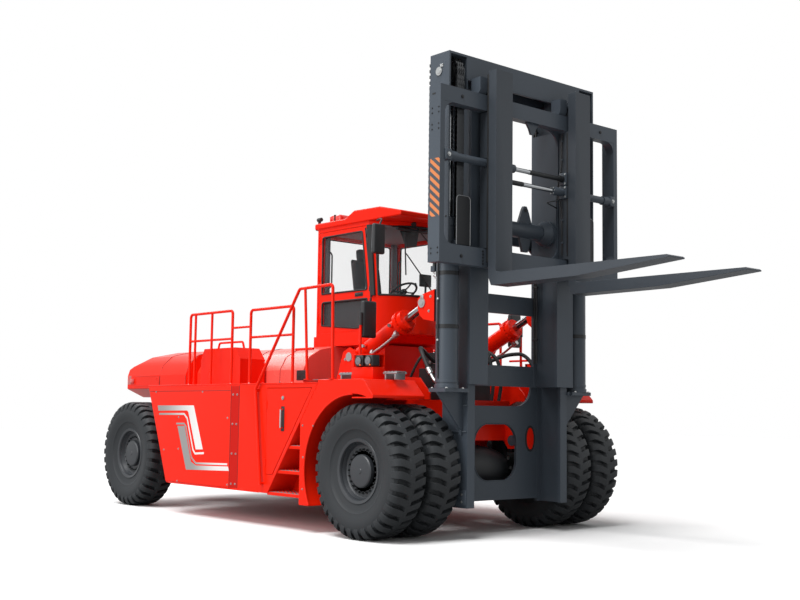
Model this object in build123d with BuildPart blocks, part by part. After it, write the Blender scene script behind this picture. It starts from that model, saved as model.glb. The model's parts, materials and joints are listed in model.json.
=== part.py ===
from build123d import *
import math
import os

os.makedirs("parts", exist_ok=True)

# Heavy electric forklift, full size, in millimetres.
# +X points along the forks, +Y to the driver's left, +Z up, and the ground is Z = 0.
# The mast stands upright with the forks about three metres up.

# Wheels and axles
tyre_radius = 820.0
tyre_width = 500.0
tyre_shoulder = 70.0
seat_gap = 0.3
tyre_bead_radius = 372.0
wheelbase = 6000.0
front_outer_track = 1785.0
front_inner_track = 1215.0
rear_track = 1630.0
rim_radius = tyre_bead_radius - seat_gap
running_gap = 6.0
axle_height = tyre_radius

# Reach of the truck from the front axle
rear_reach = 6950.0
fork_face = 1243.0
fork_length = 2500.0
front_axle_x = (rear_reach - fork_face - fork_length) / 2
rear_axle_x = front_axle_x - wheelbase

# Body
body_half_width = 2030.0
deck_height = 1885.0
sill_height = 450.0
box_inner_y = 1195.0
fender_height = 1930.0
fender_drop = 345.0
fender_inner_y = 1195.0
arch_radius = 955.0
hood_half_width = 1300.0
hood_band_top = 2105.0
hood_height = 2450.0
hood_shoulder_y = 780.0
hood_rear = 4850.0
hood_front = 2050.0
weight_half_width = 1500.0
weight_belly = 1725.0
frame_half_width = 520.0
frame_low = 560.0
frame_high = 1700.0

# Cab
cab_half_width = 750.0
cab_rear = 2500.0
cab_front_low = 1190.0
cab_front_high = 1350.0
cab_nose = 900.0
cab_floor = 2600.0
cab_base_low = 2453.0
cab_sill = 3130.0
cab_eaves = 4170.0
cab_roof = 4300.0
cab_wall = 50.0
door_thickness = 45.0
door_gap = 6.0
glass = 8.0

# Mast, measured forward of the front axle
mast_rear = 360.0
outer_depth = 450.0
flange = 46.0
outer_rail_y = 915.0
outer_flange_width = 126.0
web = 50.0
mast_low = 385.0
outer_top = 4100.0
inner_front = 885.0
inner_rear = 428.0
inner_flange_outer = 955.0
inner_flange_inner = 640.0
inner_web_y = 700.0
lift = 1500.0
lift_reserve = 300.0
inner_low = mast_low + lift
inner_top = 5950.0
crosshead_depth = 300.0
crosshead_rear = 560.0
crosshead_front = 905.0
crosshead_half = 1360.0
side_plate = 25.0
side_plate_low = 3390.0

# Hoist cylinders and chains
hoist_x = 725.0
hoist_y = 1190.0
hoist_radius = 138.0
hoist_bore = 92.0
hoist_rod = 85.0
gland = 70.0
hoist_foot = 1830.0
hoist_head = 3930.0
sheave_pitch = 190.0
sheave_height = 5720.0
chain_width = 130.0
chain_thickness = 44.0
sheave_radius = sheave_pitch - chain_thickness / 2 - seat_gap
anchor_arm_high = 3615.0

# Carriage and forks
carriage_front = 1075.0
carriage_rear = 945.0
carriage_half = 1660.0
carriage_post = 75.0
end_plate_depth = 70.0
carriage_low = 3305.0
carriage_low_bar = 225.0
carriage_top = 5443.0
carriage_top_bar = 198.0
arm_outer = 632.0
arm_inner = 585.0
arm_rear = 490.0
arm_low = 3510.0
arm_high = 5250.0
roller_radius = 165.0
hook_grip = 60.0
hook_reach = 35.0
fork_inner = 595.0
fork_outer = 886.0
fork_thickness = 128.0
blade_thickness = 150.0
fork_top = 5740.0
fork_heel = 3228.0
fork_out = 500.0
fork_in = 250.0
positioner_high = 4600.0
positioner_low = 4425.0
positioner_x = 1040.0
positioner_radius = 48.0
positioner_bore = 34.0
positioner_rod = 28.0

# Tilt cylinders and mast pivot
pivot_x = 270.0
pivot_z = 1180.0
pivot_radius = 70.0
tilt_y = 1005.0
tilt_eye_x = 170.0
tilt_eye_z = 2910.0
tilt_pin_x = -1200.0
tilt_pin_z = 2262.0
tilt_barrel_radius = 112.0
tilt_bore = 66.0
tilt_rod = 52.0
tilt_pin_radius = 45.0

# Steer axle
kingpin_y = 1150.0
kingpin_radius = 55.0

sides = (("right", -1), ("left", 1))


def ahead(distance):
    """X of a point that lies a distance ahead of the front axle."""
    return front_axle_x + distance


def save(piece, node):
    """Labels a finished piece and writes its STEP file."""
    piece.label = node
    export_step(piece, f"parts/{node}.step")


def block(x_span, y_span, z_span, mode=Mode.ADD):
    """Adds a plain block between two values of X, Y and Z."""
    centre = [(span[0] + span[1]) / 2 for span in (x_span, y_span, z_span)]
    size = [abs(span[1] - span[0]) for span in (x_span, y_span, z_span)]
    with Locations(tuple(centre)):
        Box(*size, mode=mode)


def side_shape(points, y_span, mode=Mode.ADD):
    """Adds a shape drawn in the XZ plane between two values of Y."""
    low, high = min(y_span), max(y_span)
    with BuildSketch(Plane.XZ.offset(-high)) as drawn:
        Polygon(*points)
    extrude(drawn.sketch, amount=high - low, dir=(0, -1, 0), mode=mode)


def front_shape(points, x_span, mode=Mode.ADD):
    """Adds a shape drawn in the YZ plane between two values of X."""
    low, high = min(x_span), max(x_span)
    with BuildSketch(Plane.YZ.offset(low)) as drawn:
        Polygon(*points)
    extrude(drawn.sketch, amount=high - low, dir=(1, 0, 0), mode=mode)


def plan_shape(points, z_span, mode=Mode.ADD):
    """Adds a shape drawn in plan between two values of Z."""
    low, high = min(z_span), max(z_span)
    with BuildSketch(Plane.XY.offset(low)) as drawn:
        Polygon(*points)
    extrude(drawn.sketch, amount=high - low, dir=(0, 0, 1), mode=mode)


def rod(start, end, radius, mode=Mode.ADD):
    """Adds a round bar from one point to another."""
    along = Vector(*end) - Vector(*start)
    with Locations(Plane(origin=start, z_dir=along)):
        Cylinder(radius, along.length, align=(Align.CENTER, Align.CENTER, Align.MIN), mode=mode)


def rail(points, radius):
    """Adds a bent tube handrail along straight runs with round corners."""
    with BuildLine() as route:
        FilletPolyline(*points, radius=radius * 2.6)
    start = route.wires()[0]
    with BuildSketch(Plane(origin=start @ 0, z_dir=start % 0)) as section:
        Circle(radius)
    sweep(section.sketch, path=start)


# Chassis frame: two deep side plates joined by cross boxes, with the mast horns in front,
# outriggers that carry the side boxes and battery, and the pedestals of the tilt cylinders
frame_front = 150.0
frame_rear = wheelbase + 350
frame_plate = 60.0
frame_arch = 1180.0
horn_y = (440.0, 560.0)
horn_lip = 68.0
pedestal_plates = ((840.0, 872.0), (1138.0, 1170.0))
outrigger_low = frame_low
outrigger_high = frame_low + 56
with BuildPart() as frame:
    frame_side = [
        (ahead(frame_front), frame_arch), (ahead(frame_front), frame_high),
        (ahead(-frame_rear), frame_high), (ahead(-frame_rear), frame_arch),
        (ahead(-wheelbase + 900), frame_arch), (ahead(-wheelbase + 1500), frame_low),
        (ahead(-700), frame_low), (ahead(-520), frame_arch),
    ]
    inner = frame_half_width - frame_plate
    for sign in (-1, 1):
        side_shape(frame_side, (sign * inner, sign * frame_half_width))
        side_shape(
            [(ahead(frame_front - 40), frame_arch), (ahead(pivot_x - 70), pivot_z - 110),
             (ahead(pivot_x + horn_lip), pivot_z - 110), (ahead(pivot_x + horn_lip), pivot_z + 30),
             (ahead(pivot_x + horn_lip - 25), pivot_z + 110), (ahead(frame_front - 40), frame_high - 60)],
            (sign * horn_y[0], sign * horn_y[1]))
    block((ahead(-frame_rear), ahead(frame_front)), (-inner, inner), (frame_high - 40, frame_high))
    block((ahead(frame_front - 40), ahead(frame_front)), (-inner, inner), (frame_arch, frame_high))
    for cross_x, low_z in ((-frame_rear, frame_arch), (-1500, frame_low), (-900, frame_low)):
        block((ahead(cross_x), ahead(cross_x + 50)), (-inner, inner), (low_z, frame_high))
    for sign in (-1, 1):
        with Locations((ahead(pivot_x), sign * sum(horn_y) / 2, pivot_z)):
            Cylinder(pivot_radius + seat_gap, 400, rotation=(90, 0, 0), mode=Mode.SUBTRACT)
        for beam in (4250, 3300, 2400, 1720):
            block((ahead(-beam - 50), ahead(-beam + 50)),
                  (sign * inner, sign * (box_inner_y - seat_gap)), (outrigger_low, outrigger_high))
        for low, high in pedestal_plates:
            side_shape([(ahead(-1560), frame_high), (ahead(-1330), 2330), (ahead(-1200), 2390),
                        (ahead(-1080), 2330), (ahead(-820), frame_high + 240), (ahead(-760), frame_high)],
                       (sign * low, sign * high))
        block((ahead(-1560), ahead(-760)), (sign * inner, sign * (box_inner_y - seat_gap)),
              (frame_high - 10, frame_high + 60))
        rod((ahead(tilt_pin_x), sign * (pedestal_plates[0][0] - 2), tilt_pin_z),
            (ahead(tilt_pin_x), sign * (pedestal_plates[1][1] + 2), tilt_pin_z), tilt_pin_radius)
save(frame.part, "frame")

# Drive axle: banjo housing with the drive head, and a tube out to each pair of wheels
axle_tube = 190.0
drive_head_radius = 295.0
hub_start = front_inner_track - tyre_width / 2 - 20
spindle_radius = 120.0
with BuildPart() as drive_axle:
    with BuildSketch(Plane.YZ.offset(ahead(0))) as axle_section:
        with BuildLine():
            Polyline((-hub_start, axle_height), (-hub_start, axle_height + axle_tube),
                     (-drive_head_radius - 160, axle_height + axle_tube))
            ThreePointArc((-drive_head_radius - 160, axle_height + axle_tube),
                          (0, axle_height + drive_head_radius),
                          (drive_head_radius + 160, axle_height + axle_tube))
            Polyline((drive_head_radius + 160, axle_height + axle_tube),
                     (hub_start, axle_height + axle_tube), (hub_start, axle_height),
                     (-hub_start, axle_height))
        make_face()
    revolve(axle_section.sketch, axis=Axis((ahead(0), 0, axle_height), (0, 1, 0)))
    rod((ahead(0), 0, axle_height), (ahead(-560), 0, axle_height), drive_head_radius - 60)
    for sign in (-1, 1):
        rod((ahead(0), sign * hub_start, axle_height),
            (ahead(0), sign * (front_outer_track + 120), axle_height), spindle_radius)
        # bracket clamped under the frame's horn
        side_shape([(ahead(-110), axle_height), (ahead(-110), frame_arch - seat_gap),
                    (ahead(110), frame_arch - seat_gap), (ahead(110), axle_height)],
                   (sign * inner, sign * frame_half_width))
save(drive_axle.part, "drive_axle")

# Front dual wheels: two tyres and rims on one hub for each side
hub_radius = 250.0
disc_offset = 120.0


def tyre_shape(centre_y):
    """Adds one tyre as a revolved section, out to the tips of its lugs."""
    half = tyre_width / 2
    with BuildSketch(Plane.XY) as drawn:
        with Locations((tyre_bead_radius, 0)):
            Polygon(
                (0, -half * 0.62), (70, -half * 0.80), (200, -half),
                (tyre_radius - tyre_bead_radius - 120, -half),
                (tyre_radius - tyre_bead_radius - 18, -half + tyre_shoulder * 0.7),
                (tyre_radius - tyre_bead_radius, -half + tyre_shoulder * 1.6),
                (tyre_radius - tyre_bead_radius, half - tyre_shoulder * 1.6),
                (tyre_radius - tyre_bead_radius - 18, half - tyre_shoulder * 0.7),
                (tyre_radius - tyre_bead_radius - 120, half),
                (200, half), (70, half * 0.80), (0, half * 0.62))
    section = Plane(origin=(0, centre_y, 0)).location * drawn.sketch
    revolve(section, axis=Axis.Y)


def place_wheel(piece, x, z):
    """Moves a wheel part from the origin to its axle."""
    return Pos(x, 0, z) * piece


for side, sign in sides:
    with BuildPart() as front_tyres:
        for centre in (front_outer_track, front_inner_track):
            tyre_shape(sign * centre)
    save(place_wheel(front_tyres.part, ahead(0), axle_height), f"front_tyres_{side}")

    with BuildPart() as front_rims:
        for centre in (front_outer_track, front_inner_track):
            half = tyre_width / 2 * 0.62
            rod((0, sign * (centre - half), 0), (0, sign * (centre + half), 0), rim_radius)
            rod((0, sign * (centre - half - 1), 0), (0, sign * (centre + half + 1), 0),
                rim_radius - 30, Mode.SUBTRACT)
        dish = sign * (front_outer_track - disc_offset)
        rod((0, dish - 20, 0), (0, dish + 20, 0), rim_radius - 28)
        inner_dish = sign * (front_inner_track + disc_offset)
        rod((0, inner_dish - 20, 0), (0, inner_dish + 20, 0), rim_radius - 28)
        rod((0, sign * (hub_start + running_gap), 0), (0, sign * (front_outer_track + 60), 0), hub_radius)
        rod((0, sign * (hub_start - 1), 0), (0, sign * (front_outer_track + 121 + 5), 0),
            spindle_radius + seat_gap, Mode.SUBTRACT)
        rod((0, sign * (front_outer_track + 127), 0), (0, sign * (front_outer_track + 150), 0), hub_radius - 30)
        rod((0, sign * (front_outer_track + 59), 0), (0, sign * (front_outer_track + 128), 0), hub_radius - 30)
        rod((0, sign * (front_outer_track + 58), 0), (0, sign * (front_outer_track + 127), 0),
            spindle_radius + seat_gap, Mode.SUBTRACT)
    save(place_wheel(front_rims.part, ahead(0), axle_height), f"front_rims_{side}")

# Steer axle, its knuckles and single wheels
yoke_half = 95.0
yoke_gap = 150.0
beam_half = yoke_gap + 60
yoke_recess = 45.0
with BuildPart() as steer_axle:
    front_shape(
        [(-kingpin_y - yoke_half, axle_height - beam_half), (-kingpin_y - yoke_half, axle_height + beam_half),
         (kingpin_y + yoke_half, axle_height + beam_half), (kingpin_y + yoke_half, axle_height - beam_half)],
        (rear_axle_x - 110, rear_axle_x + 110))
    for sign in (-1, 1):
        block((rear_axle_x - 200, rear_axle_x + 200),
              (sign * (kingpin_y - yoke_half - yoke_recess), sign * (kingpin_y + yoke_half + 1)),
              (axle_height - yoke_gap, axle_height + yoke_gap), Mode.SUBTRACT)
        rod((rear_axle_x, sign * kingpin_y, axle_height - yoke_gap - 61),
            (rear_axle_x, sign * kingpin_y, axle_height + yoke_gap + 61), kingpin_radius)
    # pivot mount up to the frame and the steering cylinder across the beam
    block((rear_axle_x - 230, rear_axle_x + 230), (-frame_half_width, frame_half_width),
          (frame_arch - 90, frame_arch - seat_gap))
    block((rear_axle_x - 230, rear_axle_x + 230), (-180, 180), (axle_height + 200, frame_arch - 60))
    rod((rear_axle_x - 170, -520, axle_height), (rear_axle_x - 170, 520, axle_height), 85)
    rod((rear_axle_x - 170, -760, axle_height), (rear_axle_x - 170, 760, axle_height), 42)
    block((rear_axle_x - 170, rear_axle_x), (-200, 200), (axle_height - 90, axle_height + 90))
save(steer_axle.part, "steer_axle")

knuckle_gap = 6.0
steer_arm = 130.0
stub_radius = 80.0
for side, sign in sides:
    with BuildPart() as knuckle:
        rod((0, 0, -yoke_gap + knuckle_gap), (0, 0, yoke_gap - knuckle_gap), yoke_half - 5)
        rod((0, sign * 40, 0), (0, sign * (rear_track - kingpin_y + 60), 0), stub_radius)
        rod((0, 0, -yoke_gap), (0, 0, yoke_gap), kingpin_radius + seat_gap, Mode.SUBTRACT)
        block((-steer_arm, -60), (-25, 25), (-yoke_gap + knuckle_gap, -yoke_gap + 60))
    save(Pos(rear_axle_x, sign * kingpin_y, axle_height) * knuckle.part, f"knuckle_{side}")

    with BuildPart() as rear_tyre:
        tyre_shape(sign * rear_track)
    save(place_wheel(rear_tyre.part, rear_axle_x, axle_height), f"rear_tyre_{side}")

    with BuildPart() as rear_rim:
        half = tyre_width / 2 * 0.62
        rod((0, sign * (rear_track - half), 0), (0, sign * (rear_track + half), 0), rim_radius)
        rod((0, sign * (rear_track - half - 1), 0), (0, sign * (rear_track + half + 1), 0),
            rim_radius - 30, Mode.SUBTRACT)
        rod((0, sign * (rear_track + 60), 0), (0, sign * (rear_track + 100), 0), rim_radius - 28)
        rod((0, sign * (rear_track - 130), 0), (0, sign * (rear_track + 160), 0), 190)
        rod((0, sign * (rear_track - 131), 0), (0, sign * (rear_track + 70), 0),
            stub_radius + seat_gap, Mode.SUBTRACT)
    save(place_wheel(rear_rim.part, rear_axle_x, axle_height), f"rear_rim_{side}")

# Counterweight: wide slab over the steered wheels with a narrow tail between them
weight_top = hood_height + 20
corner_back = 6740.0
box_rear_top = 5060.0
tail_half_width = 470.0
with BuildPart() as counterweight:
    with BuildSketch(Plane.XY.offset(weight_belly)) as slab:
        with BuildLine():
            Polyline((ahead(-hood_rear), -weight_half_width), (ahead(-corner_back), -weight_half_width))
            ThreePointArc((ahead(-corner_back), -weight_half_width),
                          (ahead(-rear_reach), 0), (ahead(-corner_back), weight_half_width))
            Polyline((ahead(-corner_back), weight_half_width), (ahead(-hood_rear), weight_half_width),
                     (ahead(-hood_rear), -weight_half_width))
        make_face()
    extrude(slab.sketch, amount=weight_top - weight_belly)
    # sloped tail, rounded shoulders and chamfered belly
    side_shape([(ahead(-rear_reach - 50), 2060), (ahead(-6150), weight_top),
                (ahead(-6150), weight_top + 180), (ahead(-rear_reach - 50), weight_top + 180)],
               (-weight_half_width - 10, weight_half_width + 10), Mode.SUBTRACT)
    for sign in (-1, 1):
        front_shape([(sign * (weight_half_width + 5), 2060), (sign * (weight_half_width + 5), weight_top + 40),
                     (sign * 780, weight_top + 40), (sign * 900, weight_top),
                     (sign * 1280, 2380), (sign * 1440, 2230)],
                    (ahead(-rear_reach - 60), ahead(-hood_rear + 1)), Mode.SUBTRACT)
        front_shape([(sign * (weight_half_width + 5), 1860), (sign * 1150, weight_belly - 1),
                     (sign * (weight_half_width + 5), weight_belly - 1)],
                    (ahead(-rear_reach - 60), ahead(-hood_rear + 1)), Mode.SUBTRACT)
    # step over the rear ends of the side boxes
    block((ahead(-box_rear_top - 15), ahead(-hood_rear + 1)), (-weight_half_width - 1, weight_half_width + 1),
          (weight_belly - 1, deck_height + 5), Mode.SUBTRACT)
    block((ahead(-frame_rear), ahead(-box_rear_top - 15)), (-frame_half_width, frame_half_width),
          (frame_high + seat_gap, weight_belly + 1))
    block((ahead(-rear_reach + 100), ahead(-frame_rear - 10)), (-tail_half_width, tail_half_width),
          (frame_low + 90, weight_belly + 1))
save(counterweight.part, "counterweight")

# Battery under the hood: a slab on the frame with a block down each side of it
battery_half = box_inner_y - 115.0
battery_rear = hood_rear - 250.0
battery_front = hood_front + 250.0
with BuildPart() as battery:
    block((ahead(-battery_rear), ahead(-battery_front)), (-battery_half, battery_half),
          (frame_high + seat_gap, hood_band_top - 65))
    for sign in (-1, 1):
        block((ahead(-battery_rear), ahead(-1620)), (sign * (frame_half_width + 20), sign * battery_half),
              (outrigger_high + seat_gap, frame_high - 20))
        block((ahead(-battery_rear), ahead(-battery_front)), (sign * (frame_half_width + 20), sign * battery_half),
              (frame_high - 30, frame_high + 10))
save(battery.part, "battery")

# Hood: long rounded cover over the battery, open underneath, resting on the side boxes
hood_wall = 40.0
with BuildPart() as hood:
    hood_low = deck_height + seat_gap
    outline = [(-hood_half_width, hood_low), (-hood_half_width, hood_band_top),
               (-1200, 2290), (-1010, 2400), (-hood_shoulder_y, hood_height), (hood_shoulder_y, hood_height),
               (1010, 2400), (1200, 2290), (hood_half_width, hood_band_top), (hood_half_width, hood_low)]
    front_shape(outline, (ahead(-hood_rear + 5), ahead(-hood_front)))
    hollow = [(y - math.copysign(hood_wall, y), max(z - hood_wall, hood_low - 1)) for y, z in outline]
    front_shape(hollow, (ahead(-hood_rear + 4), ahead(-hood_front - hood_wall)), Mode.SUBTRACT)
save(hood.part, "hood")

# Side boxes with their rear edge cut back for the steered wheel, stair boxes and access doors
box_rear_low = 4430.0
box_front = 2640.0
stair_low_x = 1800.0
stair_high_x = 742.0
stair_box_rear = box_front - seat_gap
fender_rear = 1100.0
stair_back_y = 1640.0


def stringer_x(z):
    """Distance behind the front axle of the stair's sloping edge at a height."""
    share = (z - sill_height) / (deck_height - sill_height)
    return stair_low_x + (stair_high_x - stair_low_x) * share


with BuildPart() as side_boxes:
    for sign in (-1, 1):
        side_shape([(ahead(-box_rear_top), deck_height), (ahead(-box_rear_low), sill_height),
                    (ahead(-box_front), sill_height), (ahead(-box_front), deck_height)],
                   (sign * box_inner_y, sign * body_half_width))
save(side_boxes.part, "side_boxes")

door_rear = 1850.0
door_top = deck_height - 60
door_low = 700.0
door_edge = 85.0
door_margin = 6.0
treads = (sill_height + 20, 760.0, 1085.0, 1415.0)
access_door_shape = [
    (ahead(-door_rear), door_low), (ahead(-door_rear), door_top),
    (ahead(-stringer_x(door_top) - door_edge), door_top), (ahead(-stringer_x(door_low) - door_edge), door_low)]
with BuildPart() as stair_boxes:
    for sign in (-1, 1):
        outer = sign * body_half_width
        side_shape([(ahead(-stair_box_rear), deck_height), (ahead(-stair_box_rear), sill_height),
                    (ahead(-stringer_x(sill_height)), sill_height), (ahead(-stringer_x(deck_height)), deck_height)],
                   (sign * stair_back_y, outer))
        block((ahead(-stair_box_rear), ahead(-fender_rear - seat_gap)), (sign * box_inner_y, sign * (stair_back_y + 1)),
              (sill_height, deck_height))
        # shallow pocket that the access door closes
        side_shape([(ahead(-door_rear - door_margin), door_low - door_margin),
                    (ahead(-door_rear - door_margin), door_top + door_margin),
                    (ahead(-stringer_x(door_top) - door_edge + 2 * door_margin), door_top + door_margin),
                    (ahead(-stringer_x(door_low) - door_edge + 2 * door_margin), door_low - door_margin)],
                   (sign * (body_half_width - door_thickness - seat_gap), sign * (body_half_width + 1)),
                   Mode.SUBTRACT)
        for height in treads:
            block((ahead(-stringer_x(height - 40) - 5), ahead(-fender_rear - seat_gap)),
                  (sign * stair_back_y, sign * (body_half_width - 15)), (height - 40, height))
save(stair_boxes.part, "stair_boxes")

for side, sign in sides:
    outer = sign * body_half_width
    with BuildPart() as access_door:
        side_shape(access_door_shape, (sign * (body_half_width - door_thickness), outer))
        handle_x = ahead(-1480)
        rod((handle_x, outer + sign * 38, 1300), (handle_x, outer + sign * 38, 1560), 11)
        for height in (1312, 1548):
            rod((handle_x, outer - sign * 5, height), (handle_x, outer + sign * 38, height), 9)
    save(access_door.part, f"access_door_{side}")

fender_slope = ((152.0, fender_height), (341.0, 1735.0), (341.0, 1700.0))
arch_centre = (-50.0, 795.0)
fender_step = sill_height + (deck_height - sill_height) * (stair_low_x - fender_rear) / (stair_low_x - stair_high_x)
with BuildPart() as fenders:
    for sign in (-1, 1):
        side_shape([(ahead(-fender_rear), fender_drop), (ahead(-fender_rear), fender_step - 2 * seat_gap),
                    (ahead(-stringer_x(deck_height) + seat_gap), deck_height),
                    (ahead(-stringer_x(deck_height) + seat_gap), fender_height)]
                   + [(ahead(x), z) for x, z in fender_slope]
                   + [(ahead(arch_centre[0]), 1700), (ahead(arch_centre[0]), fender_drop)],
                   (sign * fender_inner_y, sign * body_half_width))
        with Locations((ahead(arch_centre[0]), sign * (fender_inner_y + body_half_width) / 2, arch_centre[1])):
            Cylinder(arch_radius, body_half_width, rotation=(90, 0, 0), mode=Mode.SUBTRACT)
        block((ahead(arch_centre[0]), ahead(400)), (sign * (fender_inner_y - 10), sign * (body_half_width + 10)),
              (200, 1690), Mode.SUBTRACT)
save(fenders.part, "fenders")

# Handrails along both edges of the walkway and up the stairs
tube_radius = 20.0
rail_inset = 80.0
rail_y = body_half_width - rail_inset
stair_rail_y = body_half_width - tube_radius - 5
low_rail_y = body_half_width + tube_radius + 25
frames = (("rear", 3990.0, 2860.0, 2925.0), ("front", 2400.0, 1400.0, 2905.0))
foot = deck_height + seat_gap
with BuildPart() as handrails:
    for sign in (-1, 1):
        y = sign * rail_y
        for place, rear, front, height in frames:
            rail([(ahead(-rear), y, foot), (ahead(-rear), y, height),
                  (ahead(-front), y, height), (ahead(-front), y, foot)], tube_radius)
            rod((ahead(-rear), y, 2530), (ahead(-front), y, 2530), tube_radius - 3)
            if place == "rear":
                for post in (3850, 3400):
                    rod((ahead(-post), y, foot), (ahead(-post), y, height), tube_radius - 2)
        rod((ahead(-2860), y, 2680), (ahead(-2400), y, 2680), tube_radius - 4)
        y = sign * low_rail_y
        top_y = sign * stair_rail_y
        rail([(ahead(-1900), y, 560), (ahead(-2060), y, 1815), (ahead(-1200), top_y, 3110),
              (ahead(-500), top_y, 3120), (ahead(-470), top_y, fender_height + 4)], tube_radius)
        rod((ahead(-470), top_y, fender_height + seat_gap), (ahead(-470), top_y, fender_height + 10), 45)
        rod((ahead(-1080), top_y, 3110), (ahead(-1000), top_y, fender_height + 5), tube_radius - 2)
        rod((ahead(-1000), top_y, fender_height + seat_gap), (ahead(-1000), top_y, fender_height + 10), 45)
        rod((ahead(-1260), top_y, 2325), (ahead(-880), top_y, 2325), tube_radius - 4)
        rod((ahead(-1900), y, 575), (ahead(-1900), sign * (body_half_width + seat_gap), 575), tube_radius - 2)
        rod((ahead(-2050), y, 1800), (ahead(-2050), sign * (body_half_width + seat_gap), 1800), tube_radius - 2)
save(handrails.part, "handrails")

# Raised service hatch with a tube handle, on the walkway beside the hood
hatch_y = (-(rail_y - 190.0), -(hood_half_width + 40.0))
hatch_handle_y = sum(hatch_y) / 2
hatch_high = 2425.0
with BuildPart() as hatch:
    side_shape([(ahead(-3990), deck_height + seat_gap), (ahead(-3990), hatch_high - 165),
                (ahead(-3900), hatch_high), (ahead(-3080), hatch_high), (ahead(-2930), hatch_high - 165),
                (ahead(-2930), deck_height + seat_gap)], hatch_y)
    rail([(ahead(-3850), hatch_handle_y, hatch_high - 1), (ahead(-3820), hatch_handle_y, hatch_high + 95),
          (ahead(-3200), hatch_handle_y, hatch_high + 95), (ahead(-3160), hatch_handle_y, hatch_high - 1)], 16)
save(hatch.part, "hatch")


# Cab
def cab_volume(inset, low, high):
    """Adds the cab's outer form between two heights, shrunk by an inset."""
    levels = []
    for z in (low, high):
        share = (z - cab_floor) / (cab_eaves - cab_floor)
        corner = cab_front_low + (cab_front_high - cab_front_low) * share + inset
        nose = cab_nose + 60 * share + inset
        half = cab_half_width - inset
        with BuildSketch(Plane.XY.offset(z)) as level:
            with BuildLine():
                Polyline((ahead(-corner), -half), (ahead(-cab_rear + inset), -half),
                         (ahead(-cab_rear + inset), half), (ahead(-corner), half))
                ThreePointArc((ahead(-corner), half), (ahead(-nose), 0), (ahead(-corner), -half))
            make_face()
        levels.append(level.sketch)
    return levels


door_x = (cab_rear - 45, cab_front_low + 75)
door_x_top = cab_front_high + 65
side_door_low = cab_floor + 45
side_door_high = cab_eaves - 60


def door_outline(grow):
    """Outline of the cab door in the XZ plane, grown by a margin."""
    low = side_door_low - min(grow, seat_gap)
    return [(ahead(-door_x[0] - grow), low), (ahead(-door_x[0] - grow), side_door_high + grow),
            (ahead(-door_x_top + grow), side_door_high + grow), (ahead(-door_x[1] + grow), cab_sill),
            (ahead(-door_x[1] + grow - 90), low)]


with BuildPart() as cab_shell:
    loft(cab_volume(0, cab_floor, cab_eaves))
    loft(cab_volume(cab_wall, cab_floor + cab_wall, cab_eaves + 0.01), mode=Mode.SUBTRACT)
    for sign in (-1, 1):
        side_shape(door_outline(door_gap), (sign * 650, sign * 800), Mode.SUBTRACT)
    # windscreen and rear window
    front_shape([(-cab_half_width + 70, cab_sill), (-cab_half_width + 70, cab_eaves - 60),
                 (cab_half_width - 70, cab_eaves - 60), (cab_half_width - 70, cab_sill)],
                (ahead(-1500), ahead(-800)), Mode.SUBTRACT)
    front_shape([(-cab_half_width + 110, cab_sill + 60), (-cab_half_width + 110, cab_eaves - 120),
                 (cab_half_width - 110, cab_eaves - 120), (cab_half_width - 110, cab_sill + 60)],
                (ahead(-cab_rear - 10), ahead(-cab_rear + 100)), Mode.SUBTRACT)
    # base of the cab and the pedestal that stands on the frame
    side_shape([(ahead(-cab_rear - 55), cab_floor + 1), (ahead(-cab_rear - 55), cab_base_low),
                (ahead(-1500), cab_base_low), (ahead(-1250), cab_floor - 90), (ahead(-1160), cab_floor + 1)],
               (-cab_half_width, cab_half_width))
    block((ahead(-1990), ahead(-1300)), (-inner + 5, inner - 5), (frame_high + seat_gap, cab_base_low + 5))
save(cab_shell.part, "cab_shell")

roof_low = cab_eaves + seat_gap
roof_rear_high = cab_eaves + 90
with BuildPart() as cab_roof_panel:
    side_shape([(ahead(-cab_rear - 60), roof_low), (ahead(-cab_rear - 60), roof_rear_high),
                (ahead(-1850), roof_rear_high), (ahead(-1650), cab_roof + 55), (ahead(-1100), cab_roof + 45),
                (ahead(-640), cab_roof - 60), (ahead(-640), roof_low)],
               (-cab_half_width - 25, cab_half_width + 25))
save(cab_roof_panel.part, "cab_roof")

with BuildPart() as cab_glass:
    loft(cab_volume(15, cab_sill + seat_gap, cab_eaves - 60 - seat_gap))
    loft(cab_volume(15 + glass, cab_sill, cab_eaves - 60), mode=Mode.SUBTRACT)
    block((ahead(-cab_rear - 50), ahead(-1360)), (-800, 800), (cab_sill - 10, cab_eaves), Mode.SUBTRACT)
    for sign in (-1, 1):
        block((ahead(-1500), ahead(-800)), (sign * (cab_half_width - 70 - seat_gap), sign * 800),
              (cab_sill - 10, cab_eaves), Mode.SUBTRACT)
    pane_y = cab_half_width - 110 - seat_gap
    front_shape([(-pane_y, cab_sill + 60 + seat_gap), (-pane_y, cab_eaves - 120 - seat_gap),
                 (pane_y, cab_eaves - 120 - seat_gap), (pane_y, cab_sill + 60 + seat_gap)],
                (ahead(-cab_rear + 20), ahead(-cab_rear + 20 + glass)))
save(cab_glass.part, "cab_glass")

for side, sign in sides:
    outer = sign * cab_half_width
    panes = (((2380, 3215), (2380, 4040), (cab_front_high + 125, 4040), (cab_front_low + 160, 3215)),
             ((2370, 2760), (2370, 3090), (1340, 3090), (1450, 2700), (1600, 2690)))
    with BuildPart() as cab_door:
        side_shape(door_outline(0), (outer, outer - sign * door_thickness))
        for pane in panes:
            side_shape([(ahead(-x), z) for x, z in pane], (outer + sign, outer - sign * (door_thickness + 1)),
                       Mode.SUBTRACT)
    save(cab_door.part, f"cab_door_{side}")
    with BuildPart() as door_glass:
        for pane in panes:
            side_shape([(ahead(-x), z) for x, z in pane], (outer - sign * 12, outer - sign * (12 + glass)))
    save(door_glass.part, f"door_glass_{side}")

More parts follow.
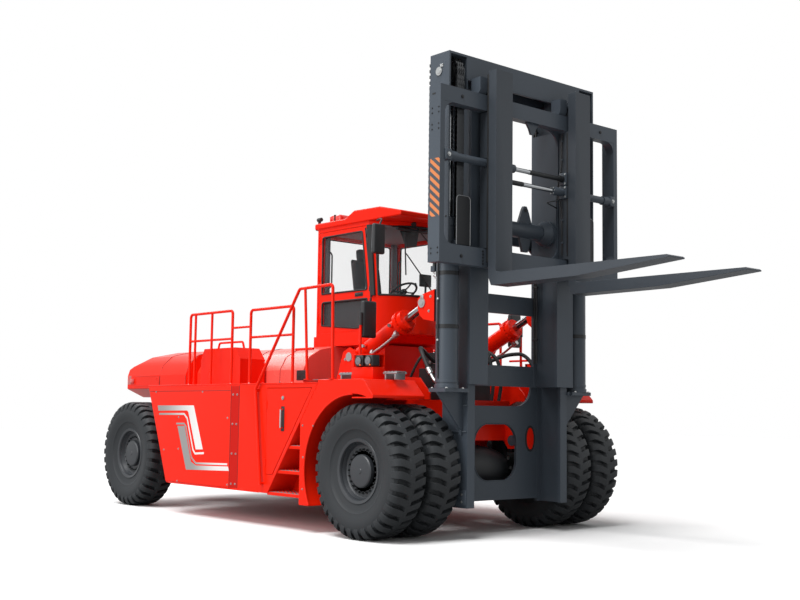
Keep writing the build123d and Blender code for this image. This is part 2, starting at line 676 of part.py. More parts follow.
with BuildPart() as seat:
    floor_top = cab_floor + cab_wall + seat_gap
    block((ahead(-2200), ahead(-1750)), (-190, 190), (floor_top, floor_top + 330))
    block((ahead(-2290), ahead(-1700)), (-260, 260), (floor_top + 330, floor_top + 450))
    side_shape([(ahead(-2260), floor_top + 450), (ahead(-2390), floor_top + 1130),
                (ahead(-2300), floor_top + 1150), (ahead(-2150), floor_top + 450)], (-245, 245))
save(seat.part, "seat")

with BuildPart() as console:
    side_shape([(ahead(-1400), floor_top), (ahead(-1400), 3060), (ahead(-1300), 3120), (ahead(-1160), 3080),
                (ahead(-1160), floor_top)], (-320, 320))
    rod((ahead(-1330), 0, 3000), (ahead(-1450), 0, 3245), 32)
    with Locations(Plane(origin=(ahead(-1450), 0, 3245), z_dir=(-150, 0, 230))):
        Torus(205, 16)
        Box(400, 34, 12)
        Box(34, 400, 12)
save(console.part, "console")

# Lamps, beacon and mirrors
lamp_post_high = fender_height + 310
with BuildPart() as lamps:
    rod((ahead(-2300), -420, roof_rear_high + seat_gap), (ahead(-2300), -420, roof_rear_high + 150), 75)
    for sign in (-1, 1):
        block((ahead(-cab_rear - 100), ahead(-cab_rear - 60 - seat_gap)), (sign * 640, sign * 720),
              (cab_eaves + 5, cab_eaves + 85))
        block((ahead(-6620), ahead(-6500)),
              (sign * (weight_half_width + seat_gap), sign * (weight_half_width + 16)), (1940, 2030))
        # pair of work lamps in a housing on the fender
        block((ahead(-480), ahead(-60)), (sign * 1500, sign * 1700), (fender_height + seat_gap, lamp_post_high))
save(lamps.part, "lamps")

with BuildPart() as mirrors:
    for sign in (-1, 1):
        rod((ahead(-560), sign * 1500, fender_height + seat_gap), (ahead(-560), sign * 1500, 2780), 18)
        block((ahead(-600), ahead(-530)), (sign * 1250, sign * 1480), (2480, 2960))
        rod((ahead(-560), sign * 1500, 2700), (ahead(-560), sign * 1440, 2700), 14)
        rod((ahead(-1200), sign * (cab_half_width + 25 - 60), roof_low - 12),
            (ahead(-1200), sign * 900, roof_low - 12), 12)
        rod((ahead(-1200), sign * 900, roof_low - 12), (ahead(-880), sign * 970, 4000), 14)
        block((ahead(-900), ahead(-830)), (sign * 870, sign * 1070), (3640, 4050))
save(mirrors.part, "mirrors")

# Valve block behind the mast
with BuildPart() as valves:
    block((ahead(-620), ahead(-120)), (-430, 430), (frame_high + seat_gap, 2120))
    block((ahead(-560), ahead(-200)), (-380, 380), (2119, 2330))
save(valves.part, "valves")

# Outer mast: two channels joined by a window plate below and a cross beam above
chain_anchor = 3330.0
foot_reach = 1345.0
foot_clear_y = inner_flange_outer + 12
tilt_ears = ((918.0, 942.0), (1068.0, 1092.0))
plate_low = 425.0
plate_high = 1920.0
plate_hollow = 1632.0
plate_window = (672.0, 1400.0)
plate_window_half = 390.0
with BuildPart() as outer_mast:
    rear, front = mast_rear, mast_rear + outer_depth
    for sign in (-1, 1):
        tip = outer_rail_y - outer_flange_width
        plan_shape([(ahead(rear), sign * outer_rail_y), (ahead(front), sign * outer_rail_y),
                    (ahead(front), sign * tip), (ahead(front - flange), sign * tip),
                    (ahead(front - flange), sign * (outer_rail_y - web)),
                    (ahead(rear + flange), sign * (outer_rail_y - web)),
                    (ahead(rear + flange), sign * tip), (ahead(rear), sign * tip)],
                   (mast_low, outer_top))
        # foot of the hoist cylinder on a gusset, and the ears of the tilt rod
        side_face = sign * (outer_rail_y - 1)
        front_shape([(side_face, hoist_foot - 20), (sign * foot_reach, hoist_foot - 20),
                     (sign * foot_reach, hoist_foot - 50), (sign * (outer_rail_y + 35), 1330),
                     (sign * (outer_rail_y + 35), 1270), (side_face, 1270)], (ahead(700), ahead(730)))
        for foot_front, foot_inner in ((inner_front - flange - 10, outer_rail_y - 1),
                                       (front + 55, foot_clear_y)):
            block((ahead(575), ahead(foot_front)), (sign * foot_inner, sign * foot_reach),
                  (hoist_foot - 45, hoist_foot - seat_gap))
        for low, high in tilt_ears:
            side_shape([(ahead(rear + 30), tilt_eye_z - 240), (ahead(tilt_eye_x - 75), tilt_eye_z - 60),
                        (ahead(tilt_eye_x - 75), tilt_eye_z + 60), (ahead(tilt_eye_x), tilt_eye_z + 90),
                        (ahead(rear + 30), tilt_eye_z + 150)], (sign * low, sign * high))
        rod((ahead(tilt_eye_x), sign * (tilt_ears[0][0] - 12), tilt_eye_z),
            (ahead(tilt_eye_x), sign * (tilt_ears[1][1] + 12), tilt_eye_z), tilt_pin_radius)
        block((ahead(rear), ahead(rear + 30)), (side_face, sign * tilt_ears[1][1]),
              (tilt_eye_z - 240, tilt_eye_z + 150))
        # pivot ears outside the frame's horns, with their pin
        side_shape([(ahead(rear + 20), pivot_z - 240), (ahead(pivot_x - 95), pivot_z - 70),
                    (ahead(pivot_x - 95), pivot_z + 70), (ahead(rear + 20), pivot_z + 240)],
                   (sign * 575, sign * 620))
        rod((ahead(pivot_x), sign * (horn_y[0] - 10), pivot_z), (ahead(pivot_x), sign * 620, pivot_z), pivot_radius)
        # clamp that holds the barrel to the rail, and the anchor of the rear chain
        block((ahead(640), ahead(700)), (side_face, sign * (hoist_y - hoist_radius - seat_gap)), (3600, 3720))
        block((ahead(500), ahead(570)), (side_face, sign * (hoist_y + chain_width / 2 + 10)),
              (chain_anchor - 70, chain_anchor - seat_gap))
    # lower plate with its window and the hollow of its top edge
    with BuildSketch(Plane.YZ.offset(ahead(rear))) as plate:
        with Locations((0, (plate_low + plate_high) / 2)):
            Rectangle(2 * (outer_rail_y - 20), plate_high - plate_low)
        with Locations((0, plate_hollow + 500)):
            RectangleRounded(1360, 1000, 280, mode=Mode.SUBTRACT)
        with Locations((0, (plate_window[0] + plate_window[1]) / 2)):
            RectangleRounded(2 * plate_window_half, plate_window[1] - plate_window[0], 250, mode=Mode.SUBTRACT)
    extrude(plate.sketch, amount=40, dir=(1, 0, 0))
    block((ahead(rear - 10), ahead(rear + 40)), (-outer_rail_y + 20, outer_rail_y - 20), (3760, 4000))
save(outer_mast.part, "outer_mast")

# Hoist cylinders: barrels on the outer mast, rods under the inner mast's crosshead
with BuildPart() as hoist_barrels:
    for sign in (-1, 1):
        rod((ahead(hoist_x), sign * hoist_y, hoist_foot), (ahead(hoist_x), sign * hoist_y, hoist_head), hoist_radius)
        rod((ahead(hoist_x), sign * hoist_y, hoist_foot + 50), (ahead(hoist_x), sign * hoist_y, hoist_head - gland),
            hoist_bore, Mode.SUBTRACT)
        rod((ahead(hoist_x), sign * hoist_y, hoist_head - gland - 1), (ahead(hoist_x), sign * hoist_y, hoist_head + 1),
            hoist_rod + seat_gap, Mode.SUBTRACT)
save(hoist_barrels.part, "hoist_barrels")

crosshead_low = inner_top - crosshead_depth
rod_low = hoist_head - lift_reserve - 150
sheave_half = 70.0
rod_yoke_high = sheave_height - 205
cheek_y = 1040.0
with BuildPart() as hoist_rods:
    for sign in (-1, 1):
        rod((ahead(hoist_x), sign * hoist_y, rod_low), (ahead(hoist_x), sign * hoist_y, sheave_height - 260), hoist_rod)
        block((ahead(hoist_x - 60), ahead(hoist_x + 60)), (sign * (cheek_y - 10), sign * (crosshead_half - side_plate - 5)),
              (rod_yoke_high - 57, rod_yoke_high))
save(hoist_rods.part, "hoist_rods")

# Inner mast: rails, two cross plates, and the crosshead that houses the chain sheaves
with BuildPart() as inner_mast:
    for sign in (-1, 1):
        wide = (sign * inner_flange_outer, sign * inner_flange_inner)
        plan_shape([(ahead(inner_front - flange), wide[0]), (ahead(inner_front), wide[0]), (ahead(inner_front), wide[1]),
                    (ahead(inner_front - flange), wide[1]), (ahead(inner_front - flange), sign * inner_web_y),
                    (ahead(inner_rear + flange), sign * inner_web_y), (ahead(inner_rear + flange), wide[1]),
                    (ahead(inner_rear), wide[1]), (ahead(inner_rear), sign * 850), (ahead(inner_rear + flange), sign * 850),
                    (ahead(inner_rear + flange), sign * (inner_web_y + web)),
                    (ahead(inner_front - flange), sign * (inner_web_y + web))], (inner_low, inner_top - 60))
        # guard plate outside the chain and hoist rod
        block((ahead(crosshead_rear), ahead(crosshead_front)),
              (sign * (crosshead_half - side_plate), sign * crosshead_half), (side_plate_low, inner_top))
        # cheek between sheave and rail, carrying the sheave's pin
        block((ahead(crosshead_rear), ahead(crosshead_front)), (sign * cheek_y, sign * (cheek_y + side_plate)),
              (rod_yoke_high + seat_gap, inner_top - 20))
        rod((ahead(hoist_x), sign * (cheek_y + 1), sheave_height), (ahead(hoist_x), sign * (crosshead_half + 12), sheave_height), 50)
    block((ahead(crosshead_rear), ahead(crosshead_front)), (-crosshead_half, crosshead_half), (inner_top - 30, inner_top))
    block((ahead(crosshead_rear), ahead(crosshead_rear + 30)), (-cheek_y - side_plate, cheek_y + side_plate), (crosshead_low, inner_top))
    block((ahead(crosshead_front - 30), ahead(crosshead_front)), (-cheek_y - side_plate, cheek_y + side_plate), (crosshead_low, inner_top))
    for low, high in ((inner_low, inner_low + 270), (2830, 3075)):
        block((ahead(inner_rear), ahead(inner_rear + 42)), (-inner_flange_inner, inner_flange_inner), (low, high))
save(inner_mast.part, "inner_mast")

with BuildPart() as sheaves:
    for sign in (-1, 1):
        rod((ahead(hoist_x), sign * (hoist_y - sheave_half), sheave_height),
            (ahead(hoist_x), sign * (hoist_y + sheave_half), sheave_height), sheave_radius)
        rod((ahead(hoist_x), sign * (hoist_y - sheave_half - 20), sheave_height),
            (ahead(hoist_x), sign * (hoist_y + sheave_half + 20), sheave_height), 50.3, Mode.SUBTRACT)
save(sheaves.part, "sheaves")

# Chains: rear strands down to the outer mast, front strands down to the carriage
with BuildPart() as chains_rear:
    for sign in (-1, 1):
        block((ahead(hoist_x - sheave_pitch - chain_thickness / 2), ahead(hoist_x - sheave_pitch + chain_thickness / 2)),
              (sign * (hoist_y - chain_width / 2), sign * (hoist_y + chain_width / 2)), (chain_anchor, sheave_height))
save(chains_rear.part, "chains_rear")

with BuildPart() as chains_front:
    for sign in (-1, 1):
        block((ahead(hoist_x + sheave_pitch - chain_thickness / 2), ahead(hoist_x + sheave_pitch + chain_thickness / 2)),
              (sign * (hoist_y - chain_width / 2), sign * (hoist_y + chain_width / 2)),
              (anchor_arm_high + seat_gap, sheave_height))
save(chains_front.part, "chains_front")

# Carriage: open frame in front, two roller arms behind it and a cross tube between them
with BuildPart() as carriage:
    bars = ((carriage_low, carriage_low + carriage_low_bar), (carriage_top - carriage_top_bar, carriage_top))
    for low, high in bars:
        block((ahead(carriage_rear), ahead(carriage_front)), (-carriage_half, carriage_half), (low, high))
    for sign in (-1, 1):
        block((ahead(carriage_rear - end_plate_depth), ahead(carriage_front)),
              (sign * (carriage_half - carriage_post), sign * carriage_half), (carriage_low, carriage_top))
        block((ahead(arm_rear), ahead(carriage_rear + 1)), (sign * arm_inner, sign * arm_outer), (arm_low, arm_high))
        block((ahead(carriage_rear - 30), ahead(carriage_rear + 1)), (sign * arm_inner, sign * arm_outer),
              (carriage_low + 10, carriage_top - hook_grip - 8))
        for height in (arm_low + 180, arm_high - 180):
            rod((ahead(654), sign * (arm_outer - 1), height), (ahead(654), sign * 690, height), roller_radius)
        # chain anchor arm
        block((ahead(880), ahead(carriage_rear + 1)), (sign * 1100, sign * 1270), (anchor_arm_high - 145, anchor_arm_high))
        block((ahead(carriage_rear - 25), ahead(carriage_rear + 1)), (sign * 1100, sign * 1540), (3505, 3560))
    rod((ahead(760), -arm_outer + 1, 3900), (ahead(760), arm_outer - 1, 3900), 100)
save(carriage.part, "carriage")

# Fork positioners: a barrel pinned to each end post, with its rod on the other fork
barrel_reach = 430.0
with BuildPart() as positioner_barrels:
    for sign, height in ((-1, positioner_high), (1, positioner_low)):
        start = sign * (carriage_half - carriage_post - seat_gap)
        rod((ahead(positioner_x), start, height), (ahead(positioner_x), sign * barrel_reach, height), positioner_radius)
        rod((ahead(positioner_x), start - sign * 60, height), (ahead(positioner_x), sign * (barrel_reach - 5), height),
            positioner_bore, Mode.SUBTRACT)
save(positioner_barrels.part, "positioner_barrels")

fork_back = fork_face - fork_thickness
for side, sign in sides:
    inner_y, outer_y = sign * fork_inner, sign * fork_outer
    own, other = (positioner_high, positioner_low) if sign < 0 else (positioner_low, positioner_high)
    with BuildPart() as fork:
        heel = fork_heel - blade_thickness
        side_shape([(ahead(fork_back), heel + 110), (ahead(fork_back), fork_top), (ahead(fork_face), fork_top),
                    (ahead(fork_face), fork_heel + 15), (ahead(fork_face + 20), fork_heel),
                    (ahead(fork_face + fork_length - 20), fork_heel - 12), (ahead(fork_face + fork_length), fork_heel - 25),
                    (ahead(fork_face + fork_length), fork_heel - 40), (ahead(fork_face + fork_length * 0.5), heel + 8),
                    (ahead(fork_face + 40), heel), (ahead(fork_back + 50), heel)], (inner_y, outer_y))
        # hanger between the bars, and hook over the top bar
        block((ahead(carriage_rear + 8), ahead(fork_back + 1)), (inner_y, outer_y - sign * 15),
              (carriage_low + carriage_low_bar + 12, carriage_top - carriage_top_bar - 12))
        side_shape([(ahead(fork_back + 1), carriage_top + seat_gap), (ahead(fork_back + 1), fork_top - 70),
                    (ahead(carriage_rear - 10), fork_top - 150), (ahead(carriage_rear - hook_reach), fork_top - 190),
                    (ahead(carriage_rear - hook_reach), carriage_top - hook_grip), (ahead(carriage_rear - 8), carriage_top - hook_grip),
                    (ahead(carriage_rear - 8), carriage_top + seat_gap)], (sign * (fork_inner + 60), sign * (fork_outer - 40)))
        rod((ahead(positioner_x), sign * 500, own), (ahead(positioner_x), sign * 1000, own),
            positioner_radius + 8, Mode.SUBTRACT)
        rod((ahead(positioner_x), inner_y + sign, other), (ahead(positioner_x), -sign * (barrel_reach + fork_out + 60), other),
            positioner_rod)
    save(fork.part, f"fork_{side}")

# Tilt cylinders: barrels on the pedestals' pins, rods out to the mast's ears
tilt_span = Vector(tilt_eye_x - tilt_pin_x, 0, tilt_eye_z - tilt_pin_z)
tilt_length = tilt_span.length
tilt_way = tilt_span.normalized()
barrel_end = 1090.0
eye_back = 118.0
eye_half = 50.0
for side, sign in sides:
    y = sign * tilt_y
    foot = Vector(ahead(tilt_pin_x), y, tilt_pin_z)
    eye = Vector(ahead(tilt_eye_x), y, tilt_eye_z)
    with BuildPart() as tilt_barrel:
        rod(tuple(foot + tilt_way * 90), tuple(foot + tilt_way * barrel_end), tilt_barrel_radius)
        rod(tuple(foot + tilt_way * (barrel_end - 90)), tuple(foot + tilt_way * (barrel_end - 30)), tilt_barrel_radius + 22)
        rod(tuple(foot + tilt_way * 200), tuple(foot + tilt_way * (barrel_end - gland)), tilt_bore, Mode.SUBTRACT)
        rod(tuple(foot + tilt_way * (barrel_end - gland - 1)), tuple(foot + tilt_way * (barrel_end + 1)),
            tilt_rod + seat_gap, Mode.SUBTRACT)
        rod(tuple(foot + Vector(0, -90, 0)), tuple(foot + Vector(0, 90, 0)), 100)
        rod(tuple(foot + Vector(0, -95, 0)), tuple(foot + Vector(0, 95, 0)), tilt_pin_radius + seat_gap, Mode.SUBTRACT)
    save(tilt_barrel.part, f"tilt_barrel_{side}")
    with BuildPart() as tilt_rod_part:
        rod(tuple(foot + tilt_way * (barrel_end - 500)), tuple(eye), tilt_rod)
        tilt_up = Vector(-tilt_way.Z, 0, tilt_way.X)
        corners = ((-eye_back, -85), (-eye_back, 85), (-50, 100), (50, 85), (92, 30), (92, -30), (50, -85), (-50, -100))
        side_shape([((eye + tilt_way * a + tilt_up * b).X, (eye + tilt_way * a + tilt_up * b).Z) for a, b in corners],
                   (y - eye_half, y + eye_half))
        rod(tuple(eye + Vector(0, -95, 0)), tuple(eye + Vector(0, 95, 0)), tilt_pin_radius + 8, Mode.SUBTRACT)
    save(tilt_rod_part.part, f"tilt_rod_{side}")
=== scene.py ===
"""Looks of the heavy electric forklift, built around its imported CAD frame.

Every length is in metres: +X along the forks, +Y to the driver's left and +Z up,
with the ground at Z = 0. Pieces count X from the front axle and Y outward from the
middle, and a form turns that into the frame's own axes.
"""

import json
import logging
import math
from dataclasses import dataclass, field
from enum import Enum
from typing import Any, Iterable, Iterator, Optional, Sequence

import bmesh
import bpy
from mathutils import Matrix, Vector

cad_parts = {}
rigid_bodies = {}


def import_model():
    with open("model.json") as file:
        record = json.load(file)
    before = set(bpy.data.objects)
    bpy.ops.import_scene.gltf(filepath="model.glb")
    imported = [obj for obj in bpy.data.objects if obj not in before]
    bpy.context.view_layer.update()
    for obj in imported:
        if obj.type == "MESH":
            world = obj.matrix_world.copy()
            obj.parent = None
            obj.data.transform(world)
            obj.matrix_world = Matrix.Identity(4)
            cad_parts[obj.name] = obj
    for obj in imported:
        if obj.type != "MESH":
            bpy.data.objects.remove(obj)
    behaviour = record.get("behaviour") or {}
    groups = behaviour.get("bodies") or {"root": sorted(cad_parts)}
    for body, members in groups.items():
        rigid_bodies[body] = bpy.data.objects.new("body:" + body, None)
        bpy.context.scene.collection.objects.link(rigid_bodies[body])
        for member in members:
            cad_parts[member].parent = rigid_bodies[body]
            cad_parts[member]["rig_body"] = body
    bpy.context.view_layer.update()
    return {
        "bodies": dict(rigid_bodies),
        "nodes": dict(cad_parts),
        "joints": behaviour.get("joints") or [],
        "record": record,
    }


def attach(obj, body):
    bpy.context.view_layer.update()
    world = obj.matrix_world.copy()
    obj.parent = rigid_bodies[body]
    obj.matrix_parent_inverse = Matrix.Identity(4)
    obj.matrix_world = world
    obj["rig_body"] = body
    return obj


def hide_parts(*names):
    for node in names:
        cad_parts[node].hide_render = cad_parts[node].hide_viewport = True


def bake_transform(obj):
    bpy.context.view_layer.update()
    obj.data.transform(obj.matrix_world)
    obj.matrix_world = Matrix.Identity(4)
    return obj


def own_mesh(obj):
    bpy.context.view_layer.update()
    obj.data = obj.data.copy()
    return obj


Place = Sequence[float]
Point = tuple[float, float, float]
Tree = bpy.types.NodeTree
Colour = tuple[float, float, float]

FRONT_AXLE = 1.6035
REAR_AXLE = -6.0
AXLE_HEIGHT = 0.82
FORWARD, UP = Vector((1, 0, 0)), Vector((0, 0, 1))
SIDES = (("right", -1.0), ("left", 1.0))
LOG = logging.getLogger("forklift")


def ahead(distance: float) -> float:
    """X of a point that lies a distance ahead of the front axle."""
    return FRONT_AXLE + distance


def mirrored(*forms: "Form") -> Iterator[float]:
    """Turns forms to the truck's right side and then to its left one, and gives the sign of Y."""
    for _, sign in SIDES:
        for form in forms:
            form.side = sign
        yield sign
    for form in forms:
        form.side = 1.0


def spokes(count: int, radius: float, across: Vector, up: Vector) -> list[Vector]:
    """Steps from a circle's centre to points spread evenly round it."""
    return [(across * math.cos(a) + up * math.sin(a)) * radius for a in (math.tau * i / count for i in range(count))]


def linear(colour: Place) -> tuple[float, float, float, float]:
    """Turns a screen colour from 0 to 255 into a linear one with full alpha."""
    out = []
    for channel in colour:
        share = channel / 255.0
        out.append(share / 12.92 if share <= 0.04045 else ((share + 0.055) / 1.055) ** 2.4)
    return (out[0], out[1], out[2], 1.0)


# --------------------------------------------------------------- finishes


def feed(tree: Tree, target: bpy.types.Node, inputs: dict[Any, Any]) -> None:
    """Links sockets to a node's inputs and sets plain values on them.

    Args:
        tree: Tree of the node.
        target: The node that is fed.
        inputs: A socket or a value for each input, by name or by number.
    """
    for key, value in inputs.items():
        if isinstance(value, bpy.types.NodeSocket):
            tree.links.new(value, target.inputs[key])
        else:
            target.inputs[key].default_value = value


def node(tree: Tree, kind: str, group: Optional[Tree] = None,
         **inputs: Any) -> bpy.types.Node:
    """Adds a shader node and feeds it.

    Args:
        tree: Tree that gets the node.
        kind: Kind of the node without the common start of its name.
        group: Tree that a group node shows.
        inputs: Sockets and values by input name, with _ for each space.

    Returns:
        The node.
    """
    made = tree.nodes.new(f"ShaderNode{kind}")
    if group:
        made.node_tree = group
    feed(tree, made, {name.replace("_", " "): value for name, value in inputs.items()})
    return made


def math_node(tree: Tree, operation: str, *inputs: Any) -> bpy.types.NodeSocket:
    """Adds a math node on sockets or values and returns its result."""
    made = tree.nodes.new("ShaderNodeMath")
    made.operation = operation
    feed(tree, made, dict(enumerate(inputs)))
    return made.outputs[0]


def mix_node(tree: Tree, factor: Any, first: Any, second: Any) -> bpy.types.NodeSocket:
    """Adds a node that mixes two colours and returns its result."""
    made = tree.nodes.new("ShaderNodeMix")
    made.data_type = "RGBA"
    feed(tree, made, {"Factor": factor, "A": first, "B": second})
    return made.outputs["Result"]


def placed(name: str, data: Any) -> bpy.types.Object:
    """Puts a mesh, light or camera in the scene as an object."""
    made = bpy.data.objects.new(name, data)
    bpy.context.scene.collection.objects.link(made)
    return made


class Groups:
    """Shader node groups that several finishes share."""

    _made: dict[str, Tree] = {}

    @classmethod
    def _start(cls, name: str, inputs: Iterable[tuple[str, str, Any]],
               outputs: Iterable[tuple[str, str]]) -> tuple[Tree, Any, Any]:
        """Makes an empty group with its sockets.

        Args:
            name: Name of the group.
            inputs: Name, socket type and default of each input.
            outputs: Name and socket type of each output.

        Returns:
            The tree, its input node and its output node.
        """
        tree = bpy.data.node_groups.new(name, "ShaderNodeTree")
        for label, kind, default in inputs:
            socket = tree.interface.new_socket(name=label, in_out="INPUT", socket_type=kind)
            if default is not None:
                socket.default_value = default
        for label, kind in outputs:
            tree.interface.new_socket(name=label, in_out="OUTPUT", socket_type=kind)
        return tree, tree.nodes.new("NodeGroupInput"), tree.nodes.new("NodeGroupOutput")

    @classmethod
    def tone(cls) -> Tree:
        """Group that drifts a colour lighter and darker over the surface."""
        if "tone" not in cls._made:
            tree, source, sink = cls._start("tone_drift", [("Vector", "NodeSocketVector", None),
                                                           ("Colour", "NodeSocketColor", (0.5, 0.5, 0.5, 1)),
                                                           ("Scale", "NodeSocketFloat", 2.0),
                                                           ("Amount", "NodeSocketFloat", 0.1)],
                                            [("Colour", "NodeSocketColor"), ("Mask", "NodeSocketFloat")])
            vector, colour, scale, amount = source.outputs[:4]
            noise = node(tree, "TexNoise", Vector=vector, Scale=scale, Detail=5.0, Roughness=0.6).outputs["Fac"]
            centre = math_node(tree, "SUBTRACT", noise, 0.5)
            gain = math_node(tree, "MULTIPLY_ADD", centre, amount, 1.0)
            mixed = tree.nodes.new("ShaderNodeVectorMath")
            mixed.operation = "SCALE"
            feed(tree, mixed, {0: colour, "Scale": gain})
            feed(tree, sink, {"Colour": mixed.outputs[0], "Mask": noise})
            cls._made["tone"] = tree
        return cls._made["tone"]

    @classmethod
    def grain(cls) -> Tree:
        """Group that gives the height of a fine grain such as orange peel or cast skin."""
        if "grain" not in cls._made:
            tree, source, sink = cls._start("fine_grain", [("Vector", "NodeSocketVector", None),
                                                           ("Scale", "NodeSocketFloat", 200.0),
                                                           ("Coarse", "NodeSocketFloat", 0.3)],
                                            [("Height", "NodeSocketFloat")])
            vector, scale, coarse = source.outputs[:3]
            fine = node(tree, "TexNoise", Vector=vector, Scale=scale, Detail=2.0).outputs["Fac"]
            smaller = math_node(tree, "MULTIPLY", scale, 0.12)
            wide = node(tree, "TexNoise", Vector=vector, Scale=smaller, Detail=2.0).outputs["Fac"]
            feed(tree, sink, {"Height": math_node(tree, "MULTIPLY_ADD", wide, coarse, fine)})
            cls._made["grain"] = tree
        return cls._made["grain"]

    @classmethod
    def drifted(cls, tree: Tree, place: Any, colour: Place, scale: float,
                amount: float) -> bpy.types.Node:
        """Adds the tone group to a material.

        Args:
            tree: Tree of the material.
            place: Socket with the object's own place.
            colour: Linear colour that drifts.
            scale: Scale of the drift.
            amount: Strength of the drift.

        Returns:
            The group's node.
        """
        return node(tree, "Group", cls.tone(), Vector=place, Colour=colour, Scale=scale, Amount=amount)


@dataclass(frozen=True)
class Finish:
    """A procedural surface: colour with drift, roughness with drift and a fine grain.

    Colours are screen values from 0 to 255.
    """

    name: str
    slot: str
    colour: Colour
    roughness: float = 0.45
    metallic: float = 0.0
    coat: float = 0.0
    drift: float = 0.12
    drift_scale: float = 1.6
    grain: float = 0.05
    grain_scale: float = 260.0
    coarse: float = 0.4
    specular: float = 0.5
    emission: float = 0.0
    alpha: float = 1.0

    def material(self) -> bpy.types.Material:
        """Builds the material once and returns it."""
        known = bpy.data.materials.get(self.name)
        if known:
            return known
        made = bpy.data.materials.new(self.name)
        made.use_nodes = True
        tree = made.node_tree
        tree.nodes.clear()
        place = node(tree, "TexCoord").outputs["Object"]
        shader = node(tree, "BsdfPrincipled", Metallic=self.metallic, Coat_Weight=self.coat, Coat_Roughness=0.08,
                      Specular_IOR_Level=self.specular)
        node(tree, "OutputMaterial", Surface=shader.outputs[0])
        tone = Groups.drifted(tree, place, linear(self.colour), self.drift_scale, self.drift)
        self.colouring(tree, place, tone.outputs["Colour"], shader)
        rough = node(tree, "MapRange", Value=tone.outputs["Mask"], To_Min=max(0.02, self.roughness - 0.06),
                     To_Max=min(1.0, self.roughness + 0.06))
        grain = node(tree, "Group", Groups.grain(), Vector=place, Scale=self.grain_scale, Coarse=self.coarse)
        bump = node(tree, "Bump", Height=grain.outputs["Height"], Strength=self.grain, Distance=0.002)
        feed(tree, shader, {"Roughness": rough.outputs["Result"], "Normal": bump.outputs["Normal"]})
        if self.emission:
            feed(tree, shader, {"Emission Color": linear(self.colour), "Emission Strength": self.emission})
        made.diffuse_color = linear(self.colour)
        return made

    def colouring(self, tree: Tree, place: Any, colour: Any, shader: Any) -> None:
        """Links the drifted colour to the shader; a patterned finish does more here."""
        tree.links.new(colour, shader.inputs["Base Color"])


@dataclass(frozen=True)
class StripeFinish(Finish):
    """Diagonal bands of two colours on a flat plate."""

    second: Colour = (40, 44, 50)
    pitch: float = 0.18
    slope: float = 0.8
    share: float = 0.5

    def colouring(self, tree: Tree, place: Any, colour: Any, shader: Any) -> None:
        """Mixes the second colour in along slanted bands read from the object's own place."""
        split = node(tree, "SeparateXYZ", Vector=place)
        lean = math_node(tree, "MULTIPLY_ADD", split.outputs["X"], self.slope, split.outputs["Z"])
        part = math_node(tree, "FRACT", math_node(tree, "DIVIDE", lean, self.pitch))
        step = math_node(tree, "GREATER_THAN", part, self.share)
        feed(tree, shader, {"Base Color": mix_node(tree, step, colour, linear(self.second))})


@dataclass(frozen=True)
class FadeFinish(Finish):
    """A colour that fades between two tones along X: the silver films' own fade, and a painted sheen on the hood."""

    second: Colour = (150, 150, 150)
    start: float = 0.0
    length: float = 1.0

    def colouring(self, tree: Tree, place: Any, colour: Any, shader: Any) -> None:
        """Fades softly from the second tone to the first one along X."""
        split = node(tree, "SeparateXYZ", Vector=place)
        fade = node(tree, "MapRange", Value=split.outputs["X"], From_Min=self.start, From_Max=self.start + self.length)
        fade.interpolation_type = "SMOOTHSTEP"
        feed(tree, shader, {"Base Color": mix_node(tree, fade.outputs["Result"], linear(self.second), colour)})


@dataclass(frozen=True)
class GlassFinish(Finish):
    """Clear or tinted glazing that lets the light straight through."""

    tint: Colour = (150, 165, 165)

    def material(self) -> bpy.types.Material:
        """Builds a thin pane: a tinted see-through layer under a gloss that grows at the edge."""
        known = bpy.data.materials.get(self.name)
        if known:
            return known
        made = bpy.data.materials.new(self.name)
        made.use_nodes = True
        tree = made.node_tree
        place = node(tree, "TexCoord").outputs["Object"]
        tone = Groups.drifted(tree, place, linear(self.tint), 1.2, 0.15)
        feed(tree, tree.nodes["Principled BSDF"], {"Base Color": tone.outputs["Colour"], "Roughness": 0.03,
                                                   "Alpha": self.alpha, "Specular IOR Level": 0.6})
        made.diffuse_color = linear(self.tint)
        return made


